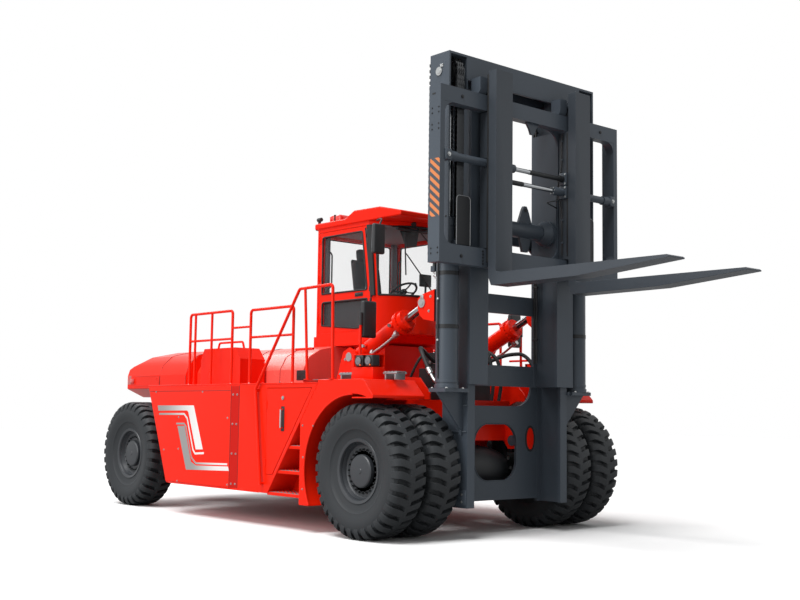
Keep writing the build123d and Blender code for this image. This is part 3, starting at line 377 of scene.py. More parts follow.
class Paint(Enum):
    """The truck's finishes."""

    RED = Finish("red_orange_enamel", "red_paint", (240, 33, 8), 0.3, drift=0.12, grain=0.03, specular=0.13)
    # A darker red that paints shade on the strips between the side boxes, where their faces turn in.
    RED_SHADE = Finish("red_shaded_strip_enamel", "red_paint", (196, 20, 8), 0.4, drift=0.1, grain=0.03, specular=0.13)
    RED_LENS = Finish("beacon_lens", "lamp", (214, 40, 26), 0.15, coat=0.6, drift=0.25, drift_scale=30, grain=0.2,
                      grain_scale=120, emission=0.15)
    RED_TREAD = Finish("red_walkway_enamel", "red_paint", (226, 32, 8), 0.42, grain=0.12, grain_scale=120,
                       specular=0.13)
    DARK = Finish("charcoal_enamel", "dark_paint", (70, 78, 87), 0.42, drift=0.16, grain=0.05, specular=0.3)
    FORK = Finish("charcoal_forged_enamel", "dark_paint", (62, 68, 75), 0.46, drift=0.22, grain=0.12, specular=0.3,
                  grain_scale=90)
    BLACK = Finish("black_enamel", "black_paint", (26, 28, 31), 0.5, drift=0.2, grain=0.08, specular=0.4)
    RIM = Finish("rim_enamel", "black_paint", (48, 51, 55), 0.42, drift=0.15, grain=0.05)
    RUBBER = Finish("tyre_rubber", "rubber", (40, 43, 46), 0.62, drift=0.28, drift_scale=3.0, grain=0.25,
                    grain_scale=160, specular=0.35)
    HOSE = Finish("hose_rubber", "plastic", (24, 25, 27), 0.6, grain=0.15, grain_scale=500)
    PLASTIC = Finish("black_moulding", "plastic", (32, 34, 36), 0.55, grain=0.2, grain_scale=420)
    SEAL = Finish("window_seal", "plastic", (16, 17, 18), 0.65, grain=0.1)
    ALLOY = Finish("grey_tread_alloy", "steel", (150, 152, 154), 0.45, 0.6, drift=0.2, grain=0.15, grain_scale=300)
    STEEL = Finish("zinc_bolt_steel", "steel", (176, 178, 178), 0.35, 0.9, drift=0.2, drift_scale=30, grain=0.06)
    CHAIN = Finish("oiled_chain_steel", "steel", (70, 72, 74), 0.38, 0.85, drift=0.4, drift_scale=25, grain=0.08)
    CHROME = Finish("hard_chrome", "chrome", (170, 173, 176), 0.16, 1.0, drift=0.05, grain=0.0)
    SEAT = Finish("seat_cloth", "seat_cover", (40, 41, 44), 0.9, drift=0.3, drift_scale=12, grain=0.6, grain_scale=900)
    # Its faint emission is a painted glow; the rear reflectors, which are no lamps, take it too.
    LAMP = Finish("red_lens", "lamp", (196, 22, 14), 0.12, coat=0.8, drift=0.1, drift_scale=20, grain=0.1,
                  emission=0.1)
    CLEAR = Finish("clear_lens", "lamp", (226, 228, 226), 0.08, coat=0.8, drift=0.1, drift_scale=40, grain=0.15)
    AMBER = Finish("amber_lens", "lamp", (238, 120, 20), 0.15, coat=0.8, drift=0.1, drift_scale=20, grain=0.1)
    FILM = FadeFinish("silver_film", "steel", (236, 234, 232), 0.35, 0.1, drift=0.05, second=(150, 146, 144),
                      start=ahead(-4.65), length=1.1)
    FILM_LOW = FadeFinish("silver_film_low", "steel", (236, 232, 230), 0.35, 0.1, drift=0.05, second=(150, 148, 146),
                          start=ahead(-3.75), length=0.8)
    HAZARD = StripeFinish("hazard_film", "dark_paint", (216, 128, 72), 0.4, drift=0.05, second=(62, 68, 76),
                          pitch=0.105, slope=0.8)
    # The hood fades from red to pale pink towards its front: a painted sheen, standing in for the light's highlight on
    # its top.
    HOOD_PAINTED_SHEEN = FadeFinish("red_hood_enamel_painted_sheen", "red_paint", (242, 98, 88), 0.26, drift=0.12, grain=0.03, specular=0.4,
                      second=(240, 58, 42), start=ahead(-4.6), length=1.5)
    GLASS = GlassFinish("cab_glass_tint", "glass", (60, 66, 70), alpha=0.035, tint=(150, 160, 164))
    CLEAR_GLASS = GlassFinish("windscreen_glass", "glass", (60, 66, 70), alpha=0.06, tint=(130, 142, 148))
    MIRROR = Finish("mirror_face", "chrome", (200, 205, 210), 0.05, 1.0, drift=0.02, grain=0.0)
    LINING = Finish("cab_lining", "plastic", (112, 118, 122), 0.7, drift=0.15, grain=0.15)
    BATTERY = Finish("battery_case", "battery_case", (52, 55, 58), 0.6, grain=0.15)
    SCREEN = Finish("display_face", "plastic", (20, 26, 34), 0.1, coat=0.6, grain=0.0)


# --------------------------------------------------------------- mesh tools


class Form:
    """A mesh in the making: shapes are added with operators and then cast as one piece."""

    def __init__(self, side: float = 1.0) -> None:
        """Starts with an empty mesh on one side of the truck; 1 is the left one, which the centre line shares."""
        self.bm = bmesh.new()
        self.side = side

    def at(self, place: Place) -> Vector:
        """Point of the frame for one that counts X from the front axle and Y outward."""
        return Vector((FRONT_AXLE + place[0], self.side * place[1], place[2]))

    def way(self, direction: Place) -> Vector:
        """Direction of the frame for one whose Y points outward."""
        return Vector((direction[0], self.side * direction[1], direction[2]))

    def block(self, x: Place, y: Place, z: Place, bevel: float = 0.0, segments: int = 2) -> "Form":
        """Adds a block between two values on each axis.

        Args:
            x: Two values of X.
            y: Two values of Y.
            z: Two values of Z.
            bevel: Width of its rounded edges.
            segments: Facets of each rounded edge.

        Returns:
            This form.
        """
        size = [abs(span[1] - span[0]) for span in (x, y, z)]
        centre = self.at([(span[0] + span[1]) / 2 for span in (x, y, z)])
        made = bmesh.ops.create_cube(self.bm, size=1.0)["verts"]
        bmesh.ops.scale(self.bm, vec=size, verts=made)
        bmesh.ops.translate(self.bm, vec=centre, verts=made)
        if bevel:
            edges = list({e for v in made for e in v.link_edges})
            bmesh.ops.bevel(self.bm, geom=edges, offset=bevel, segments=segments, profile=0.5, affect="EDGES",
                            material=-1)
        return self

    def rod(self, start: Place, end: Place, radius: float, sides: int = 20,
            second: Optional[float] = None) -> "Form":
        """Adds a closed round bar, or a cone where a second radius is given."""
        a, b = self.at(start), self.at(end)
        along = b - a
        turn = along.to_track_quat("Z", "Y").to_matrix().to_4x4()
        bmesh.ops.create_cone(self.bm, cap_ends=True, cap_tris=False, segments=sides, radius1=radius,
                              radius2=radius if second is None else second, depth=along.length,
                              matrix=Matrix.Translation((a + b) / 2) @ turn)
        return self

    def bolt(self, place: Place, axis: Place, size: float = 0.012) -> "Form":
        """Adds a hexagon head with its washer, standing on a face."""
        base, way = Vector(place), Vector(axis).normalized()
        self.rod(base - way * size * 0.2, base + way * size * 0.25, size * 1.45, 14)
        self.rod(base, base + way * size * 0.95, size, 6, size * 0.93)
        return self

    def sweep(self, path: Sequence[Place], radius: float, sides: int = 10, rounds: int = 4,
              bend: Optional[float] = None) -> "Form":
        """Adds a tube along a path with rounded corners.

        Args:
            path: Corner points of the path.
            radius: Radius of the tube.
            sides: Facets round the tube.
            rounds: Steps in each rounded corner.
            bend: Radius of the corners; three tube radii where it is left out.

        Returns:
            This form.
        """
        corner = bend if bend is not None else radius * 3
        points = [self.at(place) for place in path]
        line = points[:1]
        for b, h, a in zip(points, points[1:], points[2:]):
            reach = min(corner, (h - b).length * 0.45, (a - h).length * 0.45)
            enter, leave = h + (b - h).normalized() * reach, h + (a - h).normalized() * reach
            for step in range(rounds + 1):
                t = step / rounds
                line.append(enter * (1 - t) ** 2 + h * 2 * t * (1 - t) + leave * t * t)
        line.append(points[-1])
        ring: list[bmesh.types.BMVert] = []
        normal = Vector((0, 0, 1))
        for index, point in enumerate(line):
            way = (line[min(index + 1, len(line) - 1)] - line[max(index - 1, 0)]).normalized()
            side = way.cross(normal)
            if side.length < 0.1:
                side = way.cross(Vector((1, 0, 0)))
            side.normalize()
            normal = side.cross(way).normalized()
            turn = Matrix((side, normal, way)).transposed().to_4x4()
            made = bmesh.ops.create_circle(self.bm, cap_ends=index in (0, len(line) - 1), segments=sides,
                                           radius=radius, matrix=Matrix.Translation(point) @ turn)["verts"]
            if ring:
                edges = {e for group in (ring, made) for v in group for e in v.link_edges
                         if e.verts[0] in group and e.verts[1] in group}
                bmesh.ops.bridge_loops(self.bm, edges=list(edges))
            ring = made
        return self

    def outline(self, points: Sequence[Place], push: Place) -> list[bmesh.types.BMVert]:
        """Adds a flat outline pushed into a solid and returns its points."""
        verts = [self.bm.verts.new(self.at(p)) for p in points]
        face = self.bm.faces.new(verts)
        grown = bmesh.ops.extrude_face_region(self.bm, geom=[face])["geom"]
        moved = [g for g in grown if isinstance(g, bmesh.types.BMVert)]
        bmesh.ops.translate(self.bm, vec=self.way(push), verts=moved)
        return verts + moved

    def lathe(self, section: Sequence[tuple[float, float]], centre: Place, steps: int = 48) -> "Form":
        """Adds a ring turned about Y.

        Args:
            section: Closed outline as radius and Y from the centre.
            centre: Centre of the ring.
            steps: Facets round it.

        Returns:
            This form.
        """
        mid = self.at(centre)
        verts = [self.bm.verts.new(mid + Vector((r, y, 0))) for r, y in section]
        edges = [self.bm.edges.new((a, b)) for a, b in zip(verts, verts[1:] + verts[:1])]
        bmesh.ops.spin(self.bm, geom=verts + edges, cent=mid, axis=(0, 1, 0), angle=math.tau, steps=steps,
                       use_merge=True, use_duplicate=False)
        return self

    def copies(self, count: int, centre: Place, axis: Place,
               geom: Optional[Sequence[Any]] = None) -> "Form":
        """Repeats everything so far round an axis."""
        source = list(geom) if geom else self.bm.verts[:] + self.bm.edges[:] + self.bm.faces[:]
        bmesh.ops.spin(self.bm, geom=source, cent=centre, axis=axis, angle=math.tau * (count - 1) / count,
                       steps=count - 1, use_duplicate=True)
        return self

    def cast(self, name: str, paint: Paint, body: str = "chassis", replaces: Sequence[str] = (),
             smooth: float = 32.0, bevel: float = 0.0, levels: int = 0,
             bent: Optional[tuple[str, Point, Point]] = None) -> bpy.types.Object:
        """Turns the form into a finished piece that rides on a body.

        Args:
            name: Name of the piece.
            paint: Its finish.
            body: CAD body that it rides on.
            replaces: CAD nodes that it stands for.
            smooth: Angle in degrees under which faces shade as one.
            bevel: Width of a bevel on its sharp edges.
            levels: Levels of subdivision.
            bent: Where given, the piece rides on no body and its place is baked into its mesh; the second body and the
                points it holds are not used.

        Returns:
            The finished object.
        """
        bm = self.bm
        bmesh.ops.recalc_face_normals(bm, faces=bm.faces)
        mesh = bpy.data.meshes.new(name)
        bm.to_mesh(mesh)
        bm.free()
        for polygon in mesh.polygons:
            polygon.use_smooth = True
        mesh.set_sharp_from_angle(angle=math.radians(smooth))
        piece = placed(name, mesh)
        mesh.materials.append(paint.value.material())
        if bevel:
            edge = piece.modifiers.new("edges", "BEVEL")
            edge.width = bevel
            edge.segments = 2
            edge.limit_method = "ANGLE"
            edge.angle_limit = math.radians(35)
            edge.harden_normals = True
        if levels:
            soft = piece.modifiers.new("soft", "SUBSURF")
            soft.levels = soft.render_levels = levels
        if bent:
            self.at(bent[1])
            self.at(bent[2])
            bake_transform(piece)
        else:
            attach(piece, body)
        if replaces:
            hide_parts(*replaces)
        LOG.info("piece %s on %s, %d faces", name, body, len(mesh.polygons))
        return piece


def forms(count: int, side: float = 1.0) -> list[Form]:
    """Starts several empty forms on one side of the truck."""
    return [Form(side) for _ in range(count)]


@dataclass
class Truck:
    """What every sub-assembly shares: the loaded frame and the ways to dress a CAD node."""

    frame: dict[str, Any]

    def paint(self, node: str, paint: Paint) -> None:
        """Gives a CAD node a finish and leaves its mesh alone."""
        target, finish = self.frame["nodes"][node], paint.value
        target.data.materials.clear()
        target.data.materials.append(finish.material())
        LOG.info("node %s in %s", node, finish.name)

    def soften(self, node: str, paint: Paint, width: float = 0.006) -> bpy.types.Object:
        """Stands a copy of a CAD node in its place, merged and with its sharp edges eased.

        Args:
            node: CAD node.
            paint: Finish of the copy.
            width: Width of the eased edges.

        Returns:
            The copy.
        """
        form = Form()
        form.bm.from_mesh(self.frame["nodes"][node].data)
        bmesh.ops.remove_doubles(form.bm, verts=form.bm.verts, dist=1e-5)
        bmesh.ops.dissolve_limit(form.bm, angle_limit=math.radians(0.6), verts=form.bm.verts, edges=form.bm.edges)
        body = self.frame["nodes"][node]["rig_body"]
        return form.cast(f"{node}_panelled", paint, body, [node], 30.0, width)


# --------------------------------------------------------------- wheels


@dataclass
class Tyre:
    """A deep-lugged industrial tyre."""

    radius: float = 0.82
    base: float = 0.762
    half_width: float = 0.249
    lugs: int = 34
    groove_end: float = 0.03

    def carcass(self, form: Form, centre: Point) -> None:
        """Turns the sidewalls, the bead rings and the floor of the tread."""
        w, b = self.half_width, self.base
        half = [(0.376, 0.15), (0.384, 0.172), (0.402, 0.178), (0.43, 0.18), (0.446, 0.188), (0.462, 0.19),
                (0.496, 0.206), (0.506, 0.216), (0.516, 0.217), (0.545, 0.226), (0.6, w - 0.008), (0.655, w - 0.002),
                (0.69, w - 0.008), (b - 0.03, 0.228), (b, 0.196), (b + 0.004, 0.1)]
        section = [(r, y) for r, y in half] + [(r, -y) for r, y in reversed(half)]
        form.lathe(section, centre, 96)

    def tread(self, form: Form, centre: Point) -> None:
        """Adds both rows of lugs, which meet in a band along the middle."""
        mid = form.at(centre)
        r = self.radius
        pitch = math.tau / self.lugs
        for side in (-1.0, 1.0):
            outline = [(r, 0.0), (r, 0.13), (r - 0.006, 0.178), (r - 0.026, 0.214), (r - 0.062, 0.238),
                       (r - 0.108, 0.247), (r - 0.135, 0.243), (r - 0.135, 0.2), (self.base - 0.02, 0.12),
                       (self.base - 0.02, 0.0)]
            start = [form.bm.verts.new(mid + Vector((rad, side * y, 0))) for rad, y in outline]
            face = form.bm.faces.new(start)
            spun = bmesh.ops.spin(form.bm, geom=[face] + start + list(face.edges), cent=mid, axis=(0, 1, 0),
                                  angle=pitch * 0.6, steps=3, use_duplicate=False)
            verts = set(start)
            edge = [v for v in spun["geom_last"] if isinstance(v, bmesh.types.BMVert)]
            reach, todo = set(start), list(edge)
            while todo:
                v = todo.pop()
                if v in reach:
                    continue
                reach.add(v)
                todo.extend(e.other_vert(v) for e in v.link_edges if e.other_vert(v) not in reach)
            verts |= reach
            self._slant(mid, list(verts), side, pitch)
            faces = {f for v in verts for f in v.link_faces}
            edges = {e for f in faces for e in f.edges}
            form.copies(self.lugs, mid, (0, 1, 0), list(verts) + list(edges) + list(faces))

    def _slant(self, mid: Vector, verts: list[bmesh.types.BMVert], side: float, pitch: float) -> None:
        """Swings each point of a lug round the axle, more towards the middle, and narrows the shoulder end."""
        for v in verts:
            across = abs((v.co - mid).y)
            lean = side * pitch * 0.25 + pitch * 0.42 * max(0.0, (0.16 - across) / 0.16)
            turn = Matrix.Rotation(lean, 4, "Y")
            v.co = mid + turn @ (v.co - mid)

    def band(self, form: Form, centre: Point) -> None:
        """Adds the solid band along the middle of the tread."""
        e, r = self.groove_end, self.radius
        form.lathe([(r - 0.001, -e), (r - 0.001, e), (self.base - 0.01, e + 0.035), (self.base - 0.01, -e - 0.035)],
                   centre, 96)

    def build(self, name: str, centres: Sequence[Point], body: str, node: str) -> bpy.types.Object:
        """Builds the tyres of one body as one piece."""
        form = Form()
        for centre in centres:
            part = Form()
            self.tread(part, centre)
            self.band(part, centre)
            self.carcass(part, centre)
            mesh = bpy.data.meshes.new("part")
            part.bm.to_mesh(mesh)
            part.bm.free()
            form.bm.from_mesh(mesh)
            bpy.data.meshes.remove(mesh)
        return form.cast(name, Paint.RUBBER, body, [node], smooth=28.0, bevel=0.005)


@dataclass
class Rim:
    """A dished rim with its ring of wheel bolts and its hub cap."""

    flange: float = 0.39
    bolts: int = 24
    bolt_circle: float = 0.262

    def build(self, sign: float, x: float, tracks: Place, body: str, node: str) -> None:
        """Builds the rims, bolts and hub of one wheel body."""
        form, bolts = forms(2)
        outer = max(tracks)
        for track in tracks:
            centre = (x, sign * track, AXLE_HEIGHT)
            form.lathe([(0.371, -0.182), (self.flange, -0.186), (self.flange + 0.006, -0.176), (self.flange, -0.168),
                        (0.3715, -0.16), (0.3715, 0.16), (self.flange, 0.168), (self.flange + 0.006, 0.176),
                        (self.flange, 0.186), (0.371, 0.182), (0.356, 0.178), (0.345, 0.15), (0.343, -0.15),
                        (0.356, -0.178)], centre, 72)
        face = sign * (outer + 0.085)
        step = sign * 0.012
        form.lathe([(0.344, face + sign * 0.055), (0.336, face + sign * 0.058), (0.318, face + step), (0.3, face),
                    (0.2, face), (0.2, face - sign * 0.03), (0.344, face - sign * 0.03)], (x, 0, AXLE_HEIGHT), 72)
        cap = sign * (outer + 0.148)
        form.lathe([(0.0005, cap), (0.165, cap), (0.187, cap - sign * 0.004), (0.2, cap - sign * 0.016),
                    (0.204, cap - sign * 0.05), (0.204, face), (0.22, face - step), (0.0005, face - step)],
                   (x, 0, AXLE_HEIGHT), 60)
        form.lathe([(0.0005, cap + sign * 0.006), (0.028, cap + sign * 0.006), (0.034, cap), (0.0005, cap - step)],
                   (x, 0, AXLE_HEIGHT), 24)
        inner = sign * (min(tracks) - 0.12)
        form.lathe([(0.343, inner), (0.343, inner + sign * 0.03), (0.15, inner + sign * 0.03), (0.15, inner)],
                   (x, 0, AXLE_HEIGHT), 48)
        if len(tracks) > 1:
            form.lathe([(0.25, inner), (0.25, face), (0.13, face), (0.13, inner)], (x, 0, AXLE_HEIGHT), 48)
        for spoke in spokes(self.bolts, self.bolt_circle, FORWARD, UP):
            place = Vector((x, face, AXLE_HEIGHT)) + spoke
            bolts.bolt(place, (0, sign, 0), 0.0145)
            bolts.rod(place, place + Vector((0, sign * 0.034, 0)), 0.0085, 8)
        form.cast(f"rims_{body}", Paint.RIM, body, [node], smooth=30)
        bolts.cast(f"wheel_bolts_{body}", Paint.CHAIN, body)


@dataclass
class Wheels:
    """All four wheel groups."""

    truck: Truck
    tyre: Tyre = field(default_factory=Tyre)
    rim: Rim = field(default_factory=Rim)

    def build(self) -> None:
        """Builds the tyres and rims of each body."""
        for side, sign in SIDES:
            front = (1.785, 1.215)
            self.tyre.build(f"front_tyre_pair_{side}", [(0.0, sign * t, AXLE_HEIGHT) for t in front],
                            f"front_wheels_{side}", f"front_tyres_{side}")
            self.rim.build(sign, 0.0, front, f"front_wheels_{side}", f"front_rims_{side}")
            self.tyre.build(f"steered_tyre_{side}", [(REAR_AXLE, sign * 1.63, AXLE_HEIGHT)], f"rear_wheel_{side}",
                            f"rear_tyre_{side}")
            self.rim.build(sign, REAR_AXLE, (1.63,), f"rear_wheel_{side}", f"rear_rim_{side}")


# --------------------------------------------------------------- body


def band(points: Sequence[tuple[float, float]], width: float) -> list[tuple[float, float]]:
    """Outline of a strip of even width below a bent line.

    Args:
        points: Corners of the line as X and Z.
        width: Width of the strip.

    Returns:
        The closed outline.
    """
    shifted = []
    for index, here in enumerate(points):
        before = Vector(points[max(index - 1, 0)])
        after = Vector(points[min(index + 1, len(points) - 1)])
        mid = Vector(here)
        ways = [w.normalized() for w in (mid - before, after - mid) if w.length > 1e-6]
        sides = [Vector((-w.y, w.x)) for w in ways]
        mean = sum(sides, Vector((0, 0))).normalized()
        shifted.append(tuple(mid + mean * width / max(0.5, mean.dot(sides[0]))))
    return list(points) + shifted[::-1]


@dataclass
class Body:
    """Counterweight, hood, side boxes, stairs, fenders and rails."""

    truck: Truck
    side_y: float = 2.03
    skin: float = 0.012
    weight_y: float = 1.5
    deck: float = 1.885
    treads: tuple[float, ...] = (0.47, 0.76, 1.085, 1.415)

    def panels(self) -> None:
        """Softens the painted bodywork."""
        # The hood's finish paints a pale sheen over its front part.
        self.truck.soften("hood", Paint.HOOD_PAINTED_SHEEN, 0.012)
        for node, width in (("counterweight", 0.016), ("side_boxes", 0.008), ("stair_boxes", 0.004),
                            ("fenders", 0.008), ("hatch", 0.008), ("access_door_right", 0.006),
                            ("access_door_left", 0.006)):
            self.truck.soften(node, Paint.RED, width)
        self.truck.soften("handrails", Paint.RED, 0.001)
        self.truck.soften("valves", Paint.BLACK, 0.006)
        self.truck.soften("battery", Paint.BATTERY, 0.006)

    def films(self) -> None:
        """Lays the silver bands along both side boxes and the marks on the counterweight."""
        upper = [(-4.727, 1.586), (-3.684, 1.591), (-3.405, 0.97), (-3.595, 0.963), (-3.828, 1.494), (-3.865, 1.517),
                 (-4.702, 1.507)]
        lower = [(-4.128, 1.289), (-3.922, 1.293), (-3.717, 0.783), (-3.577, 0.735), (-2.736, 0.757), (-2.712, 0.699),
                 (-3.849, 0.664)]
        line_one = band([(-4.674, 1.473), (-3.945, 1.48), (-3.847, 1.415), (-3.659, 0.964), (-3.606, 0.918),
                         (-3.374, 0.932)], -0.028)
        line_two = band([(-4.162, 1.335), (-3.936, 1.339), (-3.875, 1.294), (-3.698, 0.855), (-3.58, 0.779),
                         (-2.759, 0.8)], -0.026)
        for side, sign in SIDES:
            for name, shapes, finish in (("upper", (upper, line_one), Paint.FILM),
                                         ("lower", (lower, line_two), Paint.FILM_LOW)):
                form = Form(sign)
                for shape in shapes:
                    form.outline([(x, self.side_y + self.skin - 0.0004, z) for x, z in shape], (0, 0.0016, 0))
                form.cast(f"side_band_{name}_{side}", finish)
            marks = Form(sign)
            for index in range(3):
                x = -6.72 + 0.034 * index
                marks.outline([(x + lean, self.weight_y - 0.0004, z)
                               for lean, z in ((0, 1.93), (0.016, 1.93), (0.046, 2.075), (0.03, 2.075))], (0, 0.002, 0))
            marks.cast(f"tail_marks_{side}", Paint.FILM)

    def seams(self) -> None:
        """Draws the joints between the covers as thin dark gaskets."""
        form = Form()
        hood = [(-1.302, 1.9), (-1.302, 2.106), (-1.202, 2.292), (-1.011, 2.402), (-0.781, 2.452), (0.781, 2.452),
                (1.011, 2.402), (1.202, 2.292), (1.302, 2.106), (1.302, 1.9)]
        for x in (-2.6, -3.35, -4.1):
            form.sweep([(x, y, z) for y, z in hood], 0.0045, 6, 1)
        weight = [(-1.501, 1.86), (-1.501, 2.05), (-1.441, 2.231), (-1.281, 2.382), (-0.9, 2.471), (0.9, 2.471),
                  (1.281, 2.382), (1.441, 2.231), (1.501, 2.05), (1.501, 1.86)]
        for x in (-5.66, -4.865):
            form.sweep([(x, y, z) for y, z in weight], 0.005, 6, 1)
        for _ in mirrored(form):
            y = self.side_y
            form.sweep([(-2.704, y + self.skin, 0.47), (-2.704, y + self.skin, 1.868)], 0.0035, 6)
            form.sweep([(-2.515, y, 0.47), (-2.515, y, 1.868)], 0.0035, 6)
            form.sweep([(-4.975, y + self.skin, 1.8), (-2.72, y + self.skin, 1.8)], 0.003, 6)
        form.cast("cover_seams", Paint.SEAL)

    def trims(self) -> None:
        """Adds the bolted strips, the deck's edge, the blank plate frames and the arch lips."""
        form, bolts, joint = forms(3)
        for _ in mirrored(joint, form, bolts):
            y = self.side_y
            # These strips take the darker red: painted shade on their turned-in faces.
            joint.outline([(-2.702, y + self.skin, 0.475), (-2.702, y - 0.002, 0.475), (-2.517, y - 0.002, 0.475),
                           (-2.517, y + 0.002, 0.475)], (0, 0, 1.387))
            form.outline([(-5.01, y - 0.002, 1.862), (-4.425, y - 0.002, 0.475), (-2.704, y - 0.002, 0.475),
                          (-2.704, y - 0.002, 1.862)], (0, self.skin + 0.002, 0))
            for z in (1.745, 1.341, 0.937, 0.527):
                bolts.bolt((-2.655, y + 0.009, z), (0, 1, 0), 0.011)
                bolts.bolt((-2.562, y + 0.005, z), (0, 1, 0), 0.011)
            for x, z in ((-2.78, 1.423), (-4.095, 1.418), (-4.079, 0.956), (-4.086, 0.49), (-4.783, 1.787),
                         (-2.745, 0.51), (-4.5, 0.93), (-3.45, 1.787)):
                bolts.bolt((x, y + self.skin, z), (0, 1, 0), 0.01)
            form.block((-5.05, -0.76), (y - 0.03, y + 0.006), (self.deck - 0.004, self.deck + 0.01), 0.003)
            form.block((-4.36, -2.0), (y - 0.02, y + 0.006), (0.447, 0.47), 0.003)
            w = self.weight_y
            for start, end, low, high in ((-6.47, -5.68, 1.905, 1.915), (-6.47, -5.68, 2.06, 2.07),
                                          (-6.47, -6.46, 1.905, 2.07), (-5.69, -5.68, 1.905, 2.07)):
                form.block((start, end), (w - 0.003, w + 0.004), (low, high), 0.002)
            lip = y - 0.006
            arch = [(-0.05 + 0.952 * math.cos(a), lip, 0.795 + 0.952 * math.sin(a))
                    for a in (math.radians(90 + 4.9 * i) for i in range(25))]
            form.sweep([(0.335, lip, 1.703), (-0.05, lip, 1.703)], 0.01, 8)
            form.sweep(arch, 0.012, 8, 1, 0.001)
            for x in (-4.6, -4.1, -3.6, -3.1, -2.6):
                bolts.bolt((x, 1.302, 1.935), (0, 1, 0), 0.01)
            for x in (-1.02, -0.8):
                for z in (0.55, 0.95, 1.35):
                    if x < -0.99 or z > 1.3:
                        bolts.bolt((x if z < 1.3 else x - 0.02, 2.031, z), (0, 1, 0), 0.009)
        form.cast("cover_trims", Paint.RED, bevel=0.002)
        joint.cast("box_joint_strips_shaded", Paint.RED_SHADE)
        bolts.cast("cover_bolts", Paint.STEEL)

    def walkways(self) -> None:
        """Covers the deck, the treads and the fender tops with studded plates."""
        plates, studs, grey = forms(3)
        for sign in mirrored(plates, studs, grey):
            spans = [(-4.78, -4.05, 1.36, 1.9), (-2.86, -1.42, 1.36, 1.9), (-1.35, -0.8, 1.36, 1.9)]
            spans.append((-4.02, -2.9, 1.78, 1.91) if sign < 0 else (-4.02, -2.9, 1.36, 1.9))
            for rear, front, inner, outer in spans:
                plates.block((rear, front), (inner, outer), (self.deck, self.deck + 0.006), 0.002)
                for row in range(int((front - rear) / 0.11)):
                    for step in range(max(1, int((outer - inner) / 0.11))):
                        x = rear + 0.06 + 0.11 * row
                        y = inner + 0.055 + 0.11 * step + 0.05 * (row % 2)
                        if y < outer - 0.02:
                            studs.rod((x, y, self.deck + 0.004), (x, y, self.deck + 0.011), 0.017, 6, 0.012)
            for z in self.treads:
                nose = -1.8 + 1.058 * (z - 0.49) / 1.435
                grey.block((nose - 0.004, -1.13), (1.66, 2.005), (z, z + 0.005), 0.002)
                for index in range(6):
                    for depth in range(max(1, int((-1.13 - nose) / 0.085))):
                        x = nose + 0.045 + 0.085 * depth
                        y = 1.7 + 0.053 * index
                        studs.rod((x, y, z + 0.003), (x, y, z + 0.012), 0.016, 6, 0.011)
            grey.block((-0.98, -0.6), (1.62, 1.93), (1.93, 1.936), 0.002)
            for shelf, rungs in ((-0.63, 7), (0.15, 4)):
                half = 0.0325 * rungs
                for rung in range(rungs):
                    at = shelf + 0.065 * (rung - (rungs - 1) / 2)
                    grey.block((at - 0.022, at + 0.022), (1.44, 1.6), (2.018, 2.034), 0.004)
                for rim_y in (1.585, 1.435):
                    grey.block((shelf - half, shelf + half), (rim_y, rim_y + 0.02), (2.0, 2.022), 0.004)
                for foot in (0.04 - half, half - 0.04):
                    grey.block((shelf + foot - 0.012, shelf + foot + 0.012), (1.44, 1.6), (1.93, 2.01), 0.003)
        plates.cast("walkway_plates", Paint.RED_TREAD)
        studs.cast("walkway_studs", Paint.RED_TREAD)
        grey.cast("tread_plates", Paint.ALLOY)

    def fittings(self) -> None:
        """Adds the vents, locks, rail feet, tow pin and rear reflectors."""
        dark, bright, red, lens = forms(4)
        for _ in mirrored(dark, red, bright, lens):
            y = 1.301
            dark.block((-2.2, -1.985), (y - 0.004, y + 0.004), (1.955, 2.095), 0.002)
            for index in range(6):
                z = 1.972 + 0.0215 * index
                dark.block((-2.19, -1.995), (y, y + 0.014), (z, z + 0.007), 0.002, 1)
            for rear, front in ((3.99, 2.86), (2.4, 1.4)):
                for x in (rear, front):
                    red.block((-x - 0.05, -x + 0.05), (1.905, 1.995), (self.deck, self.deck + 0.014), 0.003)
                    for corner in (-1, 1):
                        bright.bolt((-x + 0.034 * corner, 1.95 + 0.03 * corner, self.deck + 0.014), (0, 0, 1), 0.008)
            bright.rod((-1.48, 2.028, 1.7), (-1.48, 2.041, 1.7), 0.026, 24)
            bright.rod((-1.48, 2.04, 1.7), (-1.48, 2.047, 1.7), 0.014, 16)
            dark.block((-1.515, -1.445), (2.029, 2.033), (1.27, 1.59), 0.006)
            bright.rod((-1.48, 2.068, 1.31), (-1.48, 2.068, 1.55), 0.0125, 16)
            for z in (0.85, 1.6):
                red.rod((-1.852, 2.033, z - 0.05), (-1.852, 2.033, z + 0.05), 0.01, 12)
            for z in (0.9, 1.05, 1.2):
                dark.block((-6.952, -6.9), (0.1, 0.38), (z, z + 0.05), 0.01)
            lens.block((-6.9, -6.868), (0.62, 0.8), (1.9, 1.97), 0.008)
            dark.block((-6.895, -6.86), (0.605, 0.815), (1.885, 1.985), 0.006)
        red.block((-6.97, -6.9), (-0.1, 0.1), (1.1, 1.17), 0.012)
        red.block((-6.97, -6.9), (-0.1, 0.1), (0.95, 1.02), 0.012)
        bright.rod((-6.945, 0, 0.92), (-6.945, 0, 1.24), 0.022, 20)
        bright.rod((-6.945, 0, 1.24), (-6.945, 0, 1.26), 0.034, 20)
        dark.cast("body_vents", Paint.PLASTIC)
        bright.cast("body_hardware", Paint.STEEL)
        red.cast("body_feet", Paint.RED)
        # The rear reflectors glow faintly through the red lens finish: a painted glow.
        lens.cast("rear_reflectors", Paint.LAMP)

    def build(self) -> None:
        """Builds the whole body."""
        self.panels()
        self.films()
        self.seams()
        self.trims()
        self.walkways()
        self.fittings()


# --------------------------------------------------------------- cab


